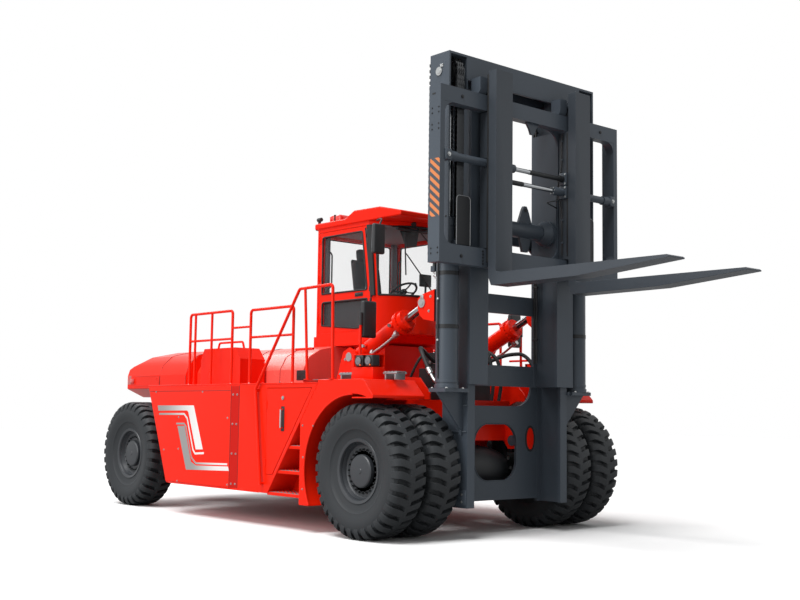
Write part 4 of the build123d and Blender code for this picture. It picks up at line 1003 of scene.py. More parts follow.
@dataclass
class Cab:
    """Cab with its doors, glass, seat, console, lamps and mirrors."""

    truck: Truck
    half: float = 0.75
    floor: float = 2.65
    panes: tuple[tuple[tuple[float, float], ...], ...] = (((-2.38, 3.215), (-2.38, 4.04), (-1.475, 4.04),
                                                           (-1.35, 3.215)),
                                                          ((-2.37, 2.76), (-2.37, 3.09), (-1.34, 3.09), (-1.45, 2.7),
                                                           (-1.6, 2.69)))

    def screen(self, y: float, z: float) -> float:
        """X of the curved windscreen at a place across and a height."""
        share = (z - 2.6) / 1.57
        corner, nose = 1.19 + 0.16 * share, 0.9 + 0.06 * share
        return -nose - (corner - nose) * (y / self.half) ** 2

    def panels(self) -> None:
        """Softens the painted shell and tints the glass."""
        for node, width in (("cab_shell", 0.012), ("cab_roof", 0.022), ("cab_door_right", 0.008),
                            ("cab_door_left", 0.008)):
            self.truck.soften(node, Paint.RED, width)
        self.truck.paint("cab_glass", Paint.CLEAR_GLASS)
        for side, _ in SIDES:
            self.truck.paint(f"door_glass_{side}", Paint.GLASS)

    def doors(self) -> None:
        """Adds the seals, pulls, hinges and the dark lower lining of each door."""
        for side, sign in SIDES:
            y = self.half + 0.001
            seal, dark, red, seal_edge, back = forms(5, sign)
            for pane in self.panes:
                ring = [(x, y, z) for x, z in pane]
                seal.sweep(ring + ring[:1], 0.013, 8, 3, 0.04)
            seal.cast(f"door_seals_{side}", Paint.SEAL, f"cab_door_{side}")
            dark.block((-1.62, -1.44), (y - 0.004, y + 0.006), (3.13, 3.185), 0.008)
            dark.rod((-1.6, y + 0.012, 3.158), (-1.46, y + 0.012, 3.158), 0.009, 12)
            dark.sweep([(-2.3, y - 0.06, 3.3), (-2.3, y - 0.11, 3.34), (-2.3, y - 0.11, 3.8), (-2.3, y - 0.06, 3.84)],
                       0.012, 8)
            dark.cast(f"door_pull_{side}", Paint.PLASTIC, f"cab_door_{side}")
            edge = [(-1.405, y, 4.08), (-1.252, y, 3.15), (-1.342, y, 2.66)]
            seal_edge.sweep([(px, y + 0.004, pz) for px, _, pz in edge], 0.01, 8, 3, 0.05)
            for step in range(9):
                at = Vector(edge[1]).lerp(Vector(edge[2]), (step + 0.5) / 9)
                seal_edge.rod(at - Vector((0, 0, 0.018)), at + Vector((0, 0, 0.018)), 0.019, 10)
            seal_edge.cast(f"door_edge_{side}", Paint.SEAL, f"cab_door_{side}")
            back.outline([(x, y - 0.044, z) for x, z in self.panes[1]], (0, 0.006, 0))
            back.cast(f"door_low_lining_{side}", Paint.BLACK, f"cab_door_{side}")
            for z in (2.85, 3.45, 4.0):
                red.rod((-2.458, y + 0.012, z - 0.045), (-2.458, y + 0.012, z + 0.045), 0.012, 12)
                red.block((-2.45, -2.4), (y - 0.002, y + 0.006), (z - 0.04, z + 0.04), 0.002)
            red.cast(f"door_hinges_{side}", Paint.RED, f"cab_door_{side}")

    def glazing(self) -> None:
        """Adds the windscreen's gasket, the wiper, the blind and the pillar covers."""
        seal, dark = forms(2)
        steps = [-0.68 + 0.085 * i for i in range(17)]
        for z in (3.135, 4.105):
            seal.sweep([(self.screen(y, z) + 0.006, y, z) for y in steps], 0.016, 8, 1, 0.001)
        for _ in mirrored(seal):
            seal.sweep([(self.screen(0.68, z) + 0.004, 0.682, z) for z in (3.13, 3.6, 4.11)], 0.018, 8)
        rear = [(-2.502, y, z) for y, z in ((-0.64, 3.19), (0.64, 3.19), (0.64, 4.05), (-0.64, 4.05))]
        seal.sweep(rear + rear[:1], 0.014, 8, 3, 0.05)
        seal.cast("cab_gaskets", Paint.SEAL)
        for base_y, top_y, low, high in ((0.2, -0.36, 3.06, 3.72), (-0.24, 0.36, 4.14, 3.62)):
            base = Vector((self.screen(base_y, low) + 0.035, base_y, low))
            tip = Vector((self.screen(top_y, high) + 0.036, top_y, high))
            dark.rod(base - Vector((0.05, 0, 0)), base + Vector((0.012, 0, 0)), 0.028, 16)
            dark.sweep([base, (base + tip) / 2 + Vector((0.014, 0, 0)), tip], 0.009, 8)
            blade = [(self.screen(top_y, z) + 0.02, top_y, z) for z in (high - 0.3, high, high + 0.3)]
            dark.sweep(blade, 0.01, 6)
        dark.rod((self.screen(0, 4.0) - 0.07, -0.5, 4.06), (self.screen(0, 4.0) - 0.07, 0.5, 4.06), 0.022, 16)
        shade, x = Form(), self.screen(0.3, 4.0) - 0.055
        shade.outline([(x, y, z) for y, z in ((-0.42, 4.06), (-0.06, 4.06), (-0.1, 3.86), (-0.3, 3.82))],
                      (0.006, 0, 0))
        shade.cast("cab_blind", Paint.PLASTIC)
        for _ in mirrored(dark):
            for z in (2.78, 3.0, 3.22, 3.9, 4.02):
                x = self.screen(0.75, z) - 0.02
                dark.block((x - 0.022, x + 0.022), (0.742, 0.772), (z - 0.035, z + 0.035), 0.006)
        dark.cast("cab_wipers", Paint.PLASTIC)
        lining, cover = forms(2)
        lining.block((-2.4, -1.12), (-0.66, 0.66), (4.085, 4.105), 0.008)
        for _ in mirrored(lining, cover):
            lining.block((-1.4, -1.215), (0.655, 0.688), (3.14, 4.09), 0.006)
            lining.block((-2.44, -2.39), (0.6, 0.688), (3.14, 4.09), 0.006)
            for read, push, y, radius in ((0.735, 0.01, 0.735, 0.024), (0.75, -0.012, 0.752, 0.022),
                                          (0.742, 0.001, 0.744, 0.024)):
                rows = [(self.screen(read, z) + push, y, z) for z in (3.125, 3.45, 3.8, 4.115)]
                cover.sweep(rows, radius, 10, 1, 0.001)
        lining.cast("cab_lining", Paint.LINING)
        cover.cast("pillar_covers", Paint.SEAL)

    def cushion(self, name: str, centre: Point, size: Point, crown: float, lean: float = 0.0) -> None:
        """Models one crowned cushion whose sides pull in between its corners.

        Args:
            name: Name of the piece.
            centre: Middle of the cushion.
            size: Its length, width and thickness.
            crown: Rise of its middle.
            lean: Angle in degrees by which it leans back.
        """
        form = Form()
        bmesh.ops.create_cube(form.bm, size=1.0)
        bmesh.ops.subdivide_edges(form.bm, edges=form.bm.edges[:], cuts=9, use_grid_fill=True)
        turn = Matrix.Rotation(math.radians(lean), 4, "Y")
        for vert in form.bm.verts:
            u, v, w = (2 * c for c in vert.co)
            swell = (1 - u ** 4) * (1 - v ** 4)
            pull = 0.05 * (1 - abs(w)) * 2 - 0.06 * (1 - (u * v) ** 2) * abs(w)
            channel = -0.012 * math.exp(-((abs(v) - 0.52) / 0.06) ** 2) if w > 0 else 0.0
            corner = 1 - 0.1 * (u * v) ** 4
            local = Vector((u * size[0] / 2 * (corner + pull * 0.4), v * size[1] / 2 * (corner + pull * 0.4),
                            w * size[2] / 2 * (1 - 0.25 * max(abs(u), abs(v)) ** 6)
                            + (crown * swell + channel if w > 0 else 0.0)))
            vert.co = form.at(centre) + turn @ local
        piece = form.cast(name, Paint.SEAT, smooth=80, levels=1)
        piping = Form()
        ring = []
        for index in range(24):
            angle = math.tau * index / 24
            u = math.copysign(abs(math.cos(angle)) ** 0.35, math.cos(angle))
            v = math.copysign(abs(math.sin(angle)) ** 0.35, math.sin(angle))
            ring.append(Vector(centre) + turn @ Vector((u * size[0] * 0.492, v * size[1] * 0.492, size[2] * 0.18)))
        piping.sweep(ring + ring[:1], 0.005, 6, 1, 0.001)
        piping.cast(f"{name}_piping", Paint.SEAL)

    def inside(self) -> None:
        """Builds the seat on its suspension, the steering column and the displays."""
        base, metal = forms(2)
        base.block((-2.22, -1.76), (-0.2, 0.2), (self.floor, self.floor + 0.1), 0.02, 3)
        for index in range(5):
            z = self.floor + 0.11 + 0.035 * index
            base.block((-2.2 + 0.006 * (index % 2), -1.78), (-0.19, 0.19), (z, z + 0.026), 0.011, 2)
        base.block((-2.27, -1.74), (-0.24, 0.24), (self.floor + 0.285, self.floor + 0.345), 0.02, 3)
        base.outline([(-2.29, -0.2, self.floor + 0.36), (-2.42, -0.2, self.floor + 1.1),
                      (-2.395, -0.2, self.floor + 1.13), (-2.24, -0.2, self.floor + 0.4)], (0, 0.4, 0))
        for sign in mirrored(base, metal):
            base.block((-2.2, -1.86), (0.29, 0.37), (self.floor + 0.58, self.floor + 0.64), 0.022, 3)
            base.block((-2.24, -2.17), (0.27, 0.31), (self.floor + 0.36, self.floor + 0.6), 0.012)
            for lever in range(3):
                x = -1.9 + 0.045 * lever
                if sign < 0:
                    metal.rod((x, 0.33, self.floor + 0.63), (x + 0.02, 0.33, self.floor + 0.7), 0.006, 8)
                    base.rod((x + 0.018, 0.33, self.floor + 0.695), (x + 0.03, 0.33, self.floor + 0.735), 0.014, 12)
        base.cast("seat_base", Paint.PLASTIC, replaces=["seat"], bevel=0.004)
        metal.cast("seat_levers", Paint.CHROME)
        self.cushion("seat_cushion", (-1.99, 0, self.floor + 0.41), (0.5, 0.5, 0.12), 0.022, -3)
        self.cushion("seat_back", (-2.275, 0, self.floor + 0.8), (0.62, 0.47, 0.12), 0.025, 80)
        self.cushion("seat_headrest", (-2.345, 0, self.floor + 1.2), (0.17, 0.27, 0.09), 0.014, 82)
        dash, wheel, screen = forms(3)
        dash.outline([(-1.39, -0.32, self.floor), (-1.4, -0.32, 3.05), (-1.3, -0.32, 3.12), (-1.17, -0.32, 3.08),
                      (-1.16, -0.32, self.floor)], (0, 0.64, 0))
        dash.rod((-1.32, 0, 2.96), (-1.452, 0, 3.22), 0.046, 20, 0.034)
        for y in (-0.16, 0.02, 0.18):
            dash.block((-1.62, -1.5), (y - 0.045, y + 0.045), (self.floor + 0.03, self.floor + 0.05), 0.006)
            dash.rod((-1.52, y, self.floor + 0.04), (-1.4, y, self.floor + 0.16), 0.01, 8)
        dash.sweep([(-1.27, 0.26, 3.1), (-1.31, 0.3, 3.34)], 0.016, 10)
        dash.block((-1.335, -1.3), (0.19, 0.41), (3.33, 3.51), 0.014, 3)
        dash.cast("cab_console", Paint.PLASTIC, replaces=["console"], bevel=0.006)
        screen.block((-1.338, -1.334), (0.205, 0.395), (3.348, 3.492), 0.003)
        screen.cast("cab_display", Paint.SCREEN)
        middle, way = Vector((-1.45, 0, 3.245)), Vector((-150, 0, 230)).normalized()
        side = Vector((0, 1, 0))
        front = side.cross(way)
        ring = [middle + (front * math.cos(a) + side * math.sin(a)) * 0.203
                for a in (math.tau * i / 28 for i in range(28))]
        wheel.sweep(ring + ring[:1], 0.0155, 8, 1, 0.001)
        wheel.rod(middle - way * 0.02, middle + way * 0.022, 0.055, 20, 0.046)
        for angle in (math.pi / 2, -math.pi / 2, 0.0):
            out = front * math.cos(angle) + side * math.sin(angle)
            wheel.sweep([middle + out * 0.03, middle + out * 0.11 - way * 0.008, middle + out * 0.2], 0.011, 8)
        knob = middle + (front * 0.7 + side * 0.714) * 0.2
        wheel.rod(knob, knob + way * 0.055, 0.017, 14, 0.021)
        wheel.cast("steering_wheel", Paint.PLASTIC)

    def lamps(self) -> None:
        """Builds the beacon, roof lamps, fender lamps and side markers."""
        red, lens, clear, dark, housing, beacon, lamp = forms(7)
        dark.block((-2.48, -2.2), (-0.6, -0.36), (4.258, 4.28), 0.008)
        beacon.block((-2.47, -2.345), (-0.58, -0.38), (4.279, 4.4), 0.028, 4)
        beacon.block((-2.335, -2.21), (-0.58, -0.38), (4.279, 4.392), 0.028, 4)
        dark.rod((-2.3, -0.48, 4.28), (-2.3, -0.48, 4.37), 0.032, 16)
        dark.block((-2.346, -2.334), (-0.585, -0.375), (4.279, 4.398), 0.004)
        for _ in mirrored(dark, lens, clear, housing, lamp, red):
            dark.block((-2.6, -2.56), (0.63, 0.73), (4.17, 4.26), 0.012)
            dark.block((-2.585, -2.55), (0.66, 0.7), (4.25, 4.34), 0.01)
            dark.rod((-2.6, 0.68, 4.335), (-2.52, 0.68, 4.335), 0.03, 16)
            lens.block((-2.604, -2.598), (0.64, 0.72), (4.18, 4.215), 0.002)
            clear.block((-2.604, -2.598), (0.64, 0.72), (4.22, 4.25), 0.002)
            lens.block((-6.62, -6.5), (1.5, 1.514), (1.945, 2.025), 0.006)
            low, high, rear, front = 1.955, 2.25, -0.48, -0.065
            housing.block((rear, front), (1.5, 1.7), (low - 0.024, 2.09), 0.008)
            housing.block((rear, rear + 0.05), (1.5, 1.7), (2.085, high), 0.008)
            housing.block((rear, front), (1.5, 1.7), (high - 0.012, high), 0.004)
            housing.block((rear, front), (1.5, 1.512), (2.085, high), 0.004)
            for x in (-0.32, -0.13):
                dark.block((x - 0.07, x + 0.07), (1.585, 1.715), (2.095, 2.235), 0.018, 3)
                dark.rod((x, 1.714, 2.165), (x, 1.728, 2.165), 0.062, 28)
                lamp.rod((x, 1.727, 2.165), (x, 1.733, 2.165), 0.052, 28, 0.046)
                lamp.rod((x, 1.732, 2.165), (x, 1.738, 2.165), 0.02, 16, 0.014)
                red.rod((x + 0.04, 1.716, 2.115), (x + 0.04, 1.73, 2.115), 0.01, 10)
            red.sweep([(-0.49, 1.6, 2.02), (-0.502, 1.6, 2.02)], 0.02, 12)
        for node_form, name, finish in ((dark, "lamp_bezels", Paint.PLASTIC), (lens, "lamp_lenses", Paint.LAMP),
                                        (clear, "lamp_glasses", Paint.CLEAR), (red, "lamp_amber", Paint.AMBER),
                                        (beacon, "beacon", Paint.RED_LENS), (lamp, "work_lamp_glasses", Paint.LINING)):
            node_form.cast(name, finish)
        housing.cast("lamp_housings", Paint.RED, replaces=["lamps"])

    def mirrors(self) -> None:
        """Builds the moulded mirrors on their arms."""
        dark, face, post = forms(3)
        for _ in mirrored(dark, face, post):
            dark.block((-0.6, -0.53), (1.25, 1.48), (2.48, 2.96), 0.03, 4)
            face.block((-0.604, -0.598), (1.27, 1.46), (2.51, 2.93), 0.004)
            post.rod((-0.56, 1.5, 1.93), (-0.56, 1.5, 2.78), 0.018, 16)
            dark.rod((-0.56, 1.5, 2.64), (-0.56, 1.5, 2.8), 0.026, 14)
            dark.rod((-0.56, 1.5, 2.7), (-0.56, 1.44, 2.7), 0.018, 12)
            dark.block((-0.9, -0.83), (0.87, 1.07), (3.64, 4.05), 0.028, 4)
            face.block((-0.904, -0.898), (0.885, 1.055), (3.665, 4.025), 0.004)
            dark.sweep([(-1.15, 0.76, 4.155), (-1.02, 0.8, 4.16), (-0.88, 0.9, 4.12), (-0.865, 0.955, 4.03)], 0.012,
                       10, 4, 0.06)
            post.rod((-0.56, 1.5, 1.93), (-0.56, 1.5, 1.95), 0.045, 20)
        dark.cast("mirror_shells", Paint.PLASTIC, replaces=["mirrors"])
        face.cast("mirror_faces", Paint.MIRROR)
        post.cast("mirror_posts", Paint.RED)

    def build(self) -> None:
        """Builds the whole cab."""
        self.panels()
        self.doors()
        self.glazing()
        self.inside()
        self.lamps()
        self.mirrors()


# --------------------------------------------------------------- mast


@dataclass
class Chain:
    """A leaf chain: rows of link plates on pins."""

    width: float = 0.12
    depth: float = 0.04
    pitch: float = 0.0635
    plates: int = 7

    def strand(self, form: Form, x: float, y: float, low: float, high: float) -> None:
        """Adds a straight strand.

        Args:
            form: Form that takes it.
            x: Middle of the strand along X.
            y: Middle of the strand along Y.
            low: Its lower end.
            high: Its upper end.
        """
        count = int((high - low) / self.pitch)
        for index in range(count):
            z = low + self.pitch * (index + 0.5)
            for plate in range(self.plates):
                if (plate + index) % 2:
                    continue
                at = y - self.width / 2 + self.width * (plate + 0.5) / self.plates
                self._link(form, Vector((x, at, z)), Vector((0, 0, 1)), self.pitch * 0.98, Vector((1, 0, 0)))
            form.rod((x, y - self.width / 2 - 0.004, z + self.pitch / 2),
                     (x, y + self.width / 2 + 0.004, z + self.pitch / 2), 0.009, 6)

    def _link(self, form: Form, mid: Vector, along: Vector, reach: float, out: Vector) -> None:
        """Adds one waisted link plate."""
        half, thick = reach, self.width / self.plates * 0.46
        shape = ((-0.98, -0.55), (-0.98, 0.55), (-0.55, 1.0), (0.0, 0.8), (0.55, 1.0), (0.98, 0.55), (0.98, -0.55),
                 (0.55, -1.0), (0.0, -0.8), (-0.55, -1.0))
        points = [mid + along * half * a + out * self.depth / 2 * b - Vector((0, thick, 0)) for a, b in shape]
        form.outline(points, (0, 2 * thick, 0))

    def wrap(self, form: Form, x: float, y: float, z: float, radius: float) -> None:
        """Adds the links that lie over a sheave."""
        count = max(3, int(math.pi * radius / self.pitch))
        for index in range(count + 1):
            angle = math.pi * index / count
            out = Vector((math.cos(angle), 0, math.sin(angle)))
            along = Vector((-math.sin(angle), 0, math.cos(angle)))
            for plate in range(self.plates):
                if (plate + index) % 2:
                    continue
                at = y - self.width / 2 + self.width * (plate + 0.5) / self.plates
                self._link(form, Vector((x, at, z)) + out * radius, along, self.pitch * 0.8, out)


@dataclass
class Mast:
    """Outer and inner mast, hoist cylinders, sheaves and chains."""

    truck: Truck
    chain: Chain = field(default_factory=Chain)
    hoist: tuple[float, float] = (0.725, 1.19)
    sheave_height: float = 5.72
    strand: float = 0.19

    def rails(self) -> None:
        """Softens both masts and fills their corners with gussets."""
        for node in ("outer_mast", "inner_mast"):
            self.truck.soften(node, Paint.DARK, 0.008)
        form, bolts = forms(2)
        for _ in mirrored(form, bolts):
            for z, rise in ((3.76, -0.16), (1.92, 0.12)):
                form.outline([(0.365, 0.79, z), (0.365, 0.6, z), (0.365, 0.79, z + rise)], (0.03, 0, 0))
            form.block((0.352, 0.372), (0.6, 0.8), (3.9, 3.98), 0.004)
            for z in (1.3, 1.62):
                form.block((0.4, 0.8), (0.912, 0.93), (z, z + 0.02), 0.004)
            form.block((0.38, 0.8), (0.913, 0.928), (0.42, 0.6), 0.006)
            for x in (0.45, 0.73):
                for z in (0.46, 0.55):
                    bolts.bolt((x, 0.928, z), (0, 1, 0), 0.012)
        form.cast("mast_gussets", Paint.DARK, "mast", bevel=0.003)
        bolts.cast("mast_bolts", Paint.STEEL, "mast")

    def ellipse(self, x: float, y: float, z: float, half_width: float, half_height: float) -> list[Point]:
        """Outline of an ellipse that faces forward."""
        turns = [math.tau * index / 28 for index in range(28)]
        return [(x, y + half_width * math.cos(a), z + half_height * math.sin(a)) for a in turns]

    def foot(self) -> None:
        """Adds the pivot caps, the plate's edge band and the tilt ears' keepers."""
        red, bolts, band_form, dark = forms(4)
        for _ in mirrored(red, bolts, dark):
            red.rod((0.27, 0.621, 1.18), (0.27, 0.645, 1.18), 0.128, 36)
            red.rod((0.27, 0.645, 1.18), (0.27, 0.655, 1.18), 0.095, 36)
            for spoke in spokes(8, 0.108, FORWARD, UP):
                bolts.bolt(Vector((0.27, 0.645, 1.18)) + spoke, (0, 1, 0), 0.009)
            for y, out in ((0.906, -1), (1.104, 1)):
                for x, z in ((0.3, 2.8), (0.33, 2.98)):
                    bolts.bolt((x, y, z), (0, out, 0), 0.013)
            # The boss on each side of the plate is flat: two red discs over a black ring that paints the shade round
            # its edge.
            for form, x, width, height, depth in ((dark, 0.402, 0.092, 0.172, 0.004),
                                                  (red, 0.405, 0.066, 0.142, 0.003), (red, 0.408, 0.05, 0.12, 0.002)):
                form.outline(self.ellipse(x, 0.648, 1.207, width, height), (depth, 0, 0))
            for inner, outer in ((1.0925, 1.104), (0.9175, 0.906)):
                ear = [(0.394, 2.665), (0.2, 2.7), (0.125, 2.755), (0.09, 2.85), (0.09, 2.97), (0.2, 3.022),
                       (0.394, 3.066)]
                red.outline([(x, inner, z) for x, z in ear], (0, outer - inner, 0))
            red.outline([(0.17, 0.918, 3.004), (0.394, 0.918, 3.064), (0.394, 1.092, 3.064), (0.17, 1.092, 3.004)],
                        (0, 0, 0.006))
            bolts.rod((0.17, 1.103, 2.91), (0.17, 1.116, 2.91), 0.062, 32)
            bolts.rod((0.17, 1.115, 2.91), (0.17, 1.122, 2.91), 0.034, 24)
            bolts.block((0.15, 0.205), (1.103, 1.118), (2.955, 3.005), 0.004)
        window = []
        for index in range(48):
            angle = math.tau * index / 48
            y = 0.14 * math.copysign(1, math.cos(angle)) + 0.25 * math.cos(angle)
            z = 1.036 + 0.114 * math.copysign(1, math.sin(angle)) + 0.25 * math.sin(angle)
            window.append((0.402, y, z))
        band_form.sweep(window + window[:1], 0.007, 6, 1, 0.001)
        red.cast("pivot_caps", Paint.RED, "mast")
        bolts.cast("pivot_bolts", Paint.STEEL, "mast")
        band_form.cast("window_bead", Paint.DARK, "mast")
        dark.cast("boss_painted_shade_rings", Paint.SEAL, "mast")

    def cylinders(self) -> None:
        """Builds the hoist cylinders with their glands, feet, clamps and hoses."""
        body, steel, hose, black = forms(4)
        hx, hy = self.hoist
        for sign in mirrored(body, steel, black, hose):
            y = hy
            body.rod((hx, y, 1.83), (hx, y, 3.86), 0.1375, 48)
            for z, radius, height in ((1.83, 0.15, 0.045), (1.9, 0.143, 0.03), (3.8, 0.146, 0.1)):
                body.rod((hx, y, z), (hx, y, z + height), radius, 48)
            for spoke in spokes(12, 0.112, FORWARD, Vector((0, 1, 0))):
                steel.bolt(Vector((hx, y, 3.9)) + spoke, (0, 0, 1), 0.01)
            body.rod((hx, y, 3.9), (hx, y, 3.925), 0.098, 36)
            for z in (2.55, 3.2):
                black.rod((hx, y, z), (hx, y, z + 0.05), 0.142, 40)
                black.block((hx - 0.05, hx + 0.01), (y - 0.16, y - 0.12), (z, z + 0.05), 0.006)
            for x in (0.6, 0.85):
                for step in (1.04, 1.31):
                    steel.bolt((x, step, 1.83), (0, 0, 1), 0.014)
            start = Vector((hx - 0.1, y - 0.1, 1.88))
            steel.rod(start, start + Vector((-0.07, 0, 0)), 0.02, 12)
            steel.sweep([start + Vector((-0.06, 0, 0)), start + Vector((-0.11, 0, 0)),
                         start + Vector((-0.11, 0, 0.08))], 0.017, 12, 5, 0.04)
            hose.sweep([start + Vector((-0.11, 0, 0.07)), start + Vector((-0.12, 0, 0.55)),
                        start + Vector((-0.115, -0.03, 1.25)), start + Vector((-0.115, -0.03, 1.62))], 0.017, 12, 5,
                       0.3)
            steel.rod((hx - 0.12, y - 0.12, 3.74), (hx - 0.215, y - 0.13, 3.56), 0.013, 10)
            hose.sweep([(hx, y + 0.141, 1.95), (hx, y + 0.158, 2.3), (hx, y + 0.158, 3.5), (hx, y + 0.141, 3.83)],
                       0.01, 8, 4, 0.1)
            for z in (2.4, 2.9, 3.4):
                steel.rod((hx, y + 0.156, z), (hx, y + 0.156, z + 0.02), 0.014, 10)
            elbow = [(0.575, 1.03, 1.875), (0.42, 1.0, 1.88), (0.3, 1.0, 1.93), (0.225, 1.0, 2.035)]
            steel.sweep(elbow, 0.021, 12, 5, 0.1)
            steel.rod((0.235, 1.0, 2.02), (0.185, 1.0, 2.09), 0.034, 16)
            lead = Form(sign)
            lead.sweep([(0.195, 1.0, 2.075), (0.075, 1.0, 2.27), (-0.03, 0.95, 2.36), (-0.16, 0.78, 2.34),
                        (-0.28, 0.5, 2.22), (-0.3, 0.41, 2.2)], 0.026, 12, 6, 0.2)
            lead.cast(f"mast_supply_{'right' if sign < 0 else 'left'}", Paint.HOSE, "mast",
                      bent=("chassis", (0.19, 1.0, 2.08), (-0.28, 0.5, 2.24)))
        body.cast("hoist_barrel_bodies", Paint.DARK, "mast", ["hoist_barrels"], bevel=0.003)
        steel.cast("hoist_fittings", Paint.STEEL, "mast")
        hose.cast("hoist_hoses", Paint.HOSE, "mast")
        black.cast("hoist_clamps", Paint.BLACK, "mast")
        self.truck.paint("hoist_rods", Paint.CHROME)

    def sheaves(self) -> None:
        """Turns the grooved sheaves and their pins."""
        form, pins = forms(2)
        hx, hy = self.hoist
        for _ in mirrored(form, pins):
            form.lathe([(0.052, -0.088), (0.085, -0.088), (0.095, -0.06), (0.13, -0.052), (0.135, -0.069),
                        (0.1675, -0.069), (0.1675, -0.064), (0.15, -0.062), (0.148, 0.062), (0.1675, 0.064),
                        (0.1675, 0.069), (0.135, 0.069), (0.13, 0.052), (0.095, 0.06), (0.085, 0.088), (0.052, 0.088)],
                       (hx, hy, self.sheave_height), 48)
            y = 1.36
            pins.rod((0.725, y, 5.72), (0.725, y + 0.013, 5.72), 0.054, 32)
            pins.rod((0.725, y + 0.012, 5.72), (0.725, y + 0.017, 5.72), 0.03, 24)
            pins.block((0.745, 0.8), (y, y + 0.012), (5.765, 5.805), 0.004)
            pins.bolt((0.785, y + 0.011, 5.786), (0, 1, 0), 0.009)
        form.cast("sheave_wheels", Paint.CHAIN, "inner_mast", ["sheaves"])
        pins.cast("sheave_pins", Paint.STEEL, "inner_mast")

    def chains(self) -> None:
        """Builds the link chains; the front ones overlap as the mast moves."""
        hx, hy = self.hoist
        rear, top, hang, held = forms(4)
        for _ in mirrored(rear, top, hang, held):
            y = hy
            self.chain.strand(rear, hx - self.strand, y, 3.335, 5.7)
            self.chain.wrap(top, hx, y, self.sheave_height, self.strand)
            steps = int(1.85 / self.chain.pitch)
            self.chain.strand(hang, hx + self.strand, y, 5.7 - steps * self.chain.pitch, 5.7001)
            steps = int(1.72 / self.chain.pitch)
            low = 5.7 - int((5.7 - 3.635) / self.chain.pitch) * self.chain.pitch
            self.chain.strand(held, hx + self.strand, y, low, low + steps * self.chain.pitch + 0.0001)
        piece = rear.cast("rear_chains", Paint.CHAIN, "mast", ["chains_rear"])
        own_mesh(piece)
        top.cast("chain_wraps", Paint.CHAIN, "inner_mast")
        hang.cast("front_chains", Paint.CHAIN, "inner_mast", ["chains_front"])
        held.cast("front_chain_ends", Paint.CHAIN, "carriage")
        anchors = Form()
        for _ in mirrored(anchors):
            y = hy
            anchors.rod((hx + self.strand, y, 3.5), (hx + self.strand, y, 3.66), 0.02, 16)
            anchors.block((hx + self.strand - 0.022, hx + self.strand + 0.022), (y - 0.05, y + 0.05), (3.635, 3.7),
                          0.006)
            anchors.bolt((hx + self.strand, y, 3.47), (0, 0, -1), 0.034)
            anchors.bolt((hx + self.strand, y, 3.43), (0, 0, -1), 0.034)
        anchors.cast("chain_anchors", Paint.STEEL, "carriage")
        feet = Form()
        for _ in mirrored(feet):
            feet.rod((hx - self.strand, hy, 3.18), (hx - self.strand, hy, 3.36), 0.02, 16)
            feet.bolt((hx - self.strand, hy, 3.255), (0, 0, -1), 0.034)
            feet.bolt((hx - self.strand, hy, 3.215), (0, 0, -1), 0.034)
        feet.cast("chain_feet", Paint.STEEL, "mast")

    def guards(self) -> None:
        """Dresses the guard plates with bolts and the serrated edge."""
        dots, teeth = forms(2)
        for _ in mirrored(dots, teeth):
            y = 1.36
            for x in (0.6, 0.865):
                for z in (3.46, 3.56, 3.9):
                    dots.bolt((x, y, z), (0, 1, 0), 0.009)
            for index in range(33):
                z = 3.46 + 0.0735 * index
                teeth.block((0.535, 0.562), (y - 0.022, y - 0.004), (z, z + 0.04), 0.004, 1)
        dots.cast("guard_bolts", Paint.BLACK, "inner_mast")
        teeth.cast("guard_teeth", Paint.BLACK, "inner_mast")

    def crosshead(self) -> None:
        """Adds the crosshead's lower lips, its lifting points and the hose reel line."""
        form, hoses, steel = forms(3)
        for x in (0.56, 0.875):
            form.block((x, x + 0.03), (-1.06, 1.06), (5.632, 5.652), 0.006)
        for _ in mirrored(form, hoses, steel):
            form.block((0.66, 0.8), (0.46, 0.5), (5.945, 5.95), 0.002)
            for z in (5.2, 4.6, 3.9, 3.3, 2.6):
                form.block((0.43, 0.475), (0.665, 0.7), (z, z + 0.05), 0.008)
            hoses.sweep([(0.5, 0.62, 2.2), (0.5, 0.62, 4.6), (0.5, 0.6, 5.55)], 0.014, 10)
            hoses.sweep([(0.54, 0.62, 2.2), (0.54, 0.62, 4.6), (0.54, 0.6, 5.55)], 0.014, 10)
            for z in (2.5, 3.2, 3.9, 4.6, 5.3):
                steel.block((0.485, 0.556), (0.603, 0.642), (z, z + 0.03), 0.006)
        form.cast("crosshead_lips", Paint.DARK, "inner_mast")
        hoses.cast("mast_hoses", Paint.HOSE, "inner_mast")
        steel.cast("mast_hose_clips", Paint.BLACK, "inner_mast")

    def build(self) -> None:
        """Builds the whole mast."""
        self.rails()
        self.foot()
        self.cylinders()
        self.sheaves()
        self.chains()
        self.guards()
        self.crosshead()


# --------------------------------------------------------------- carriage


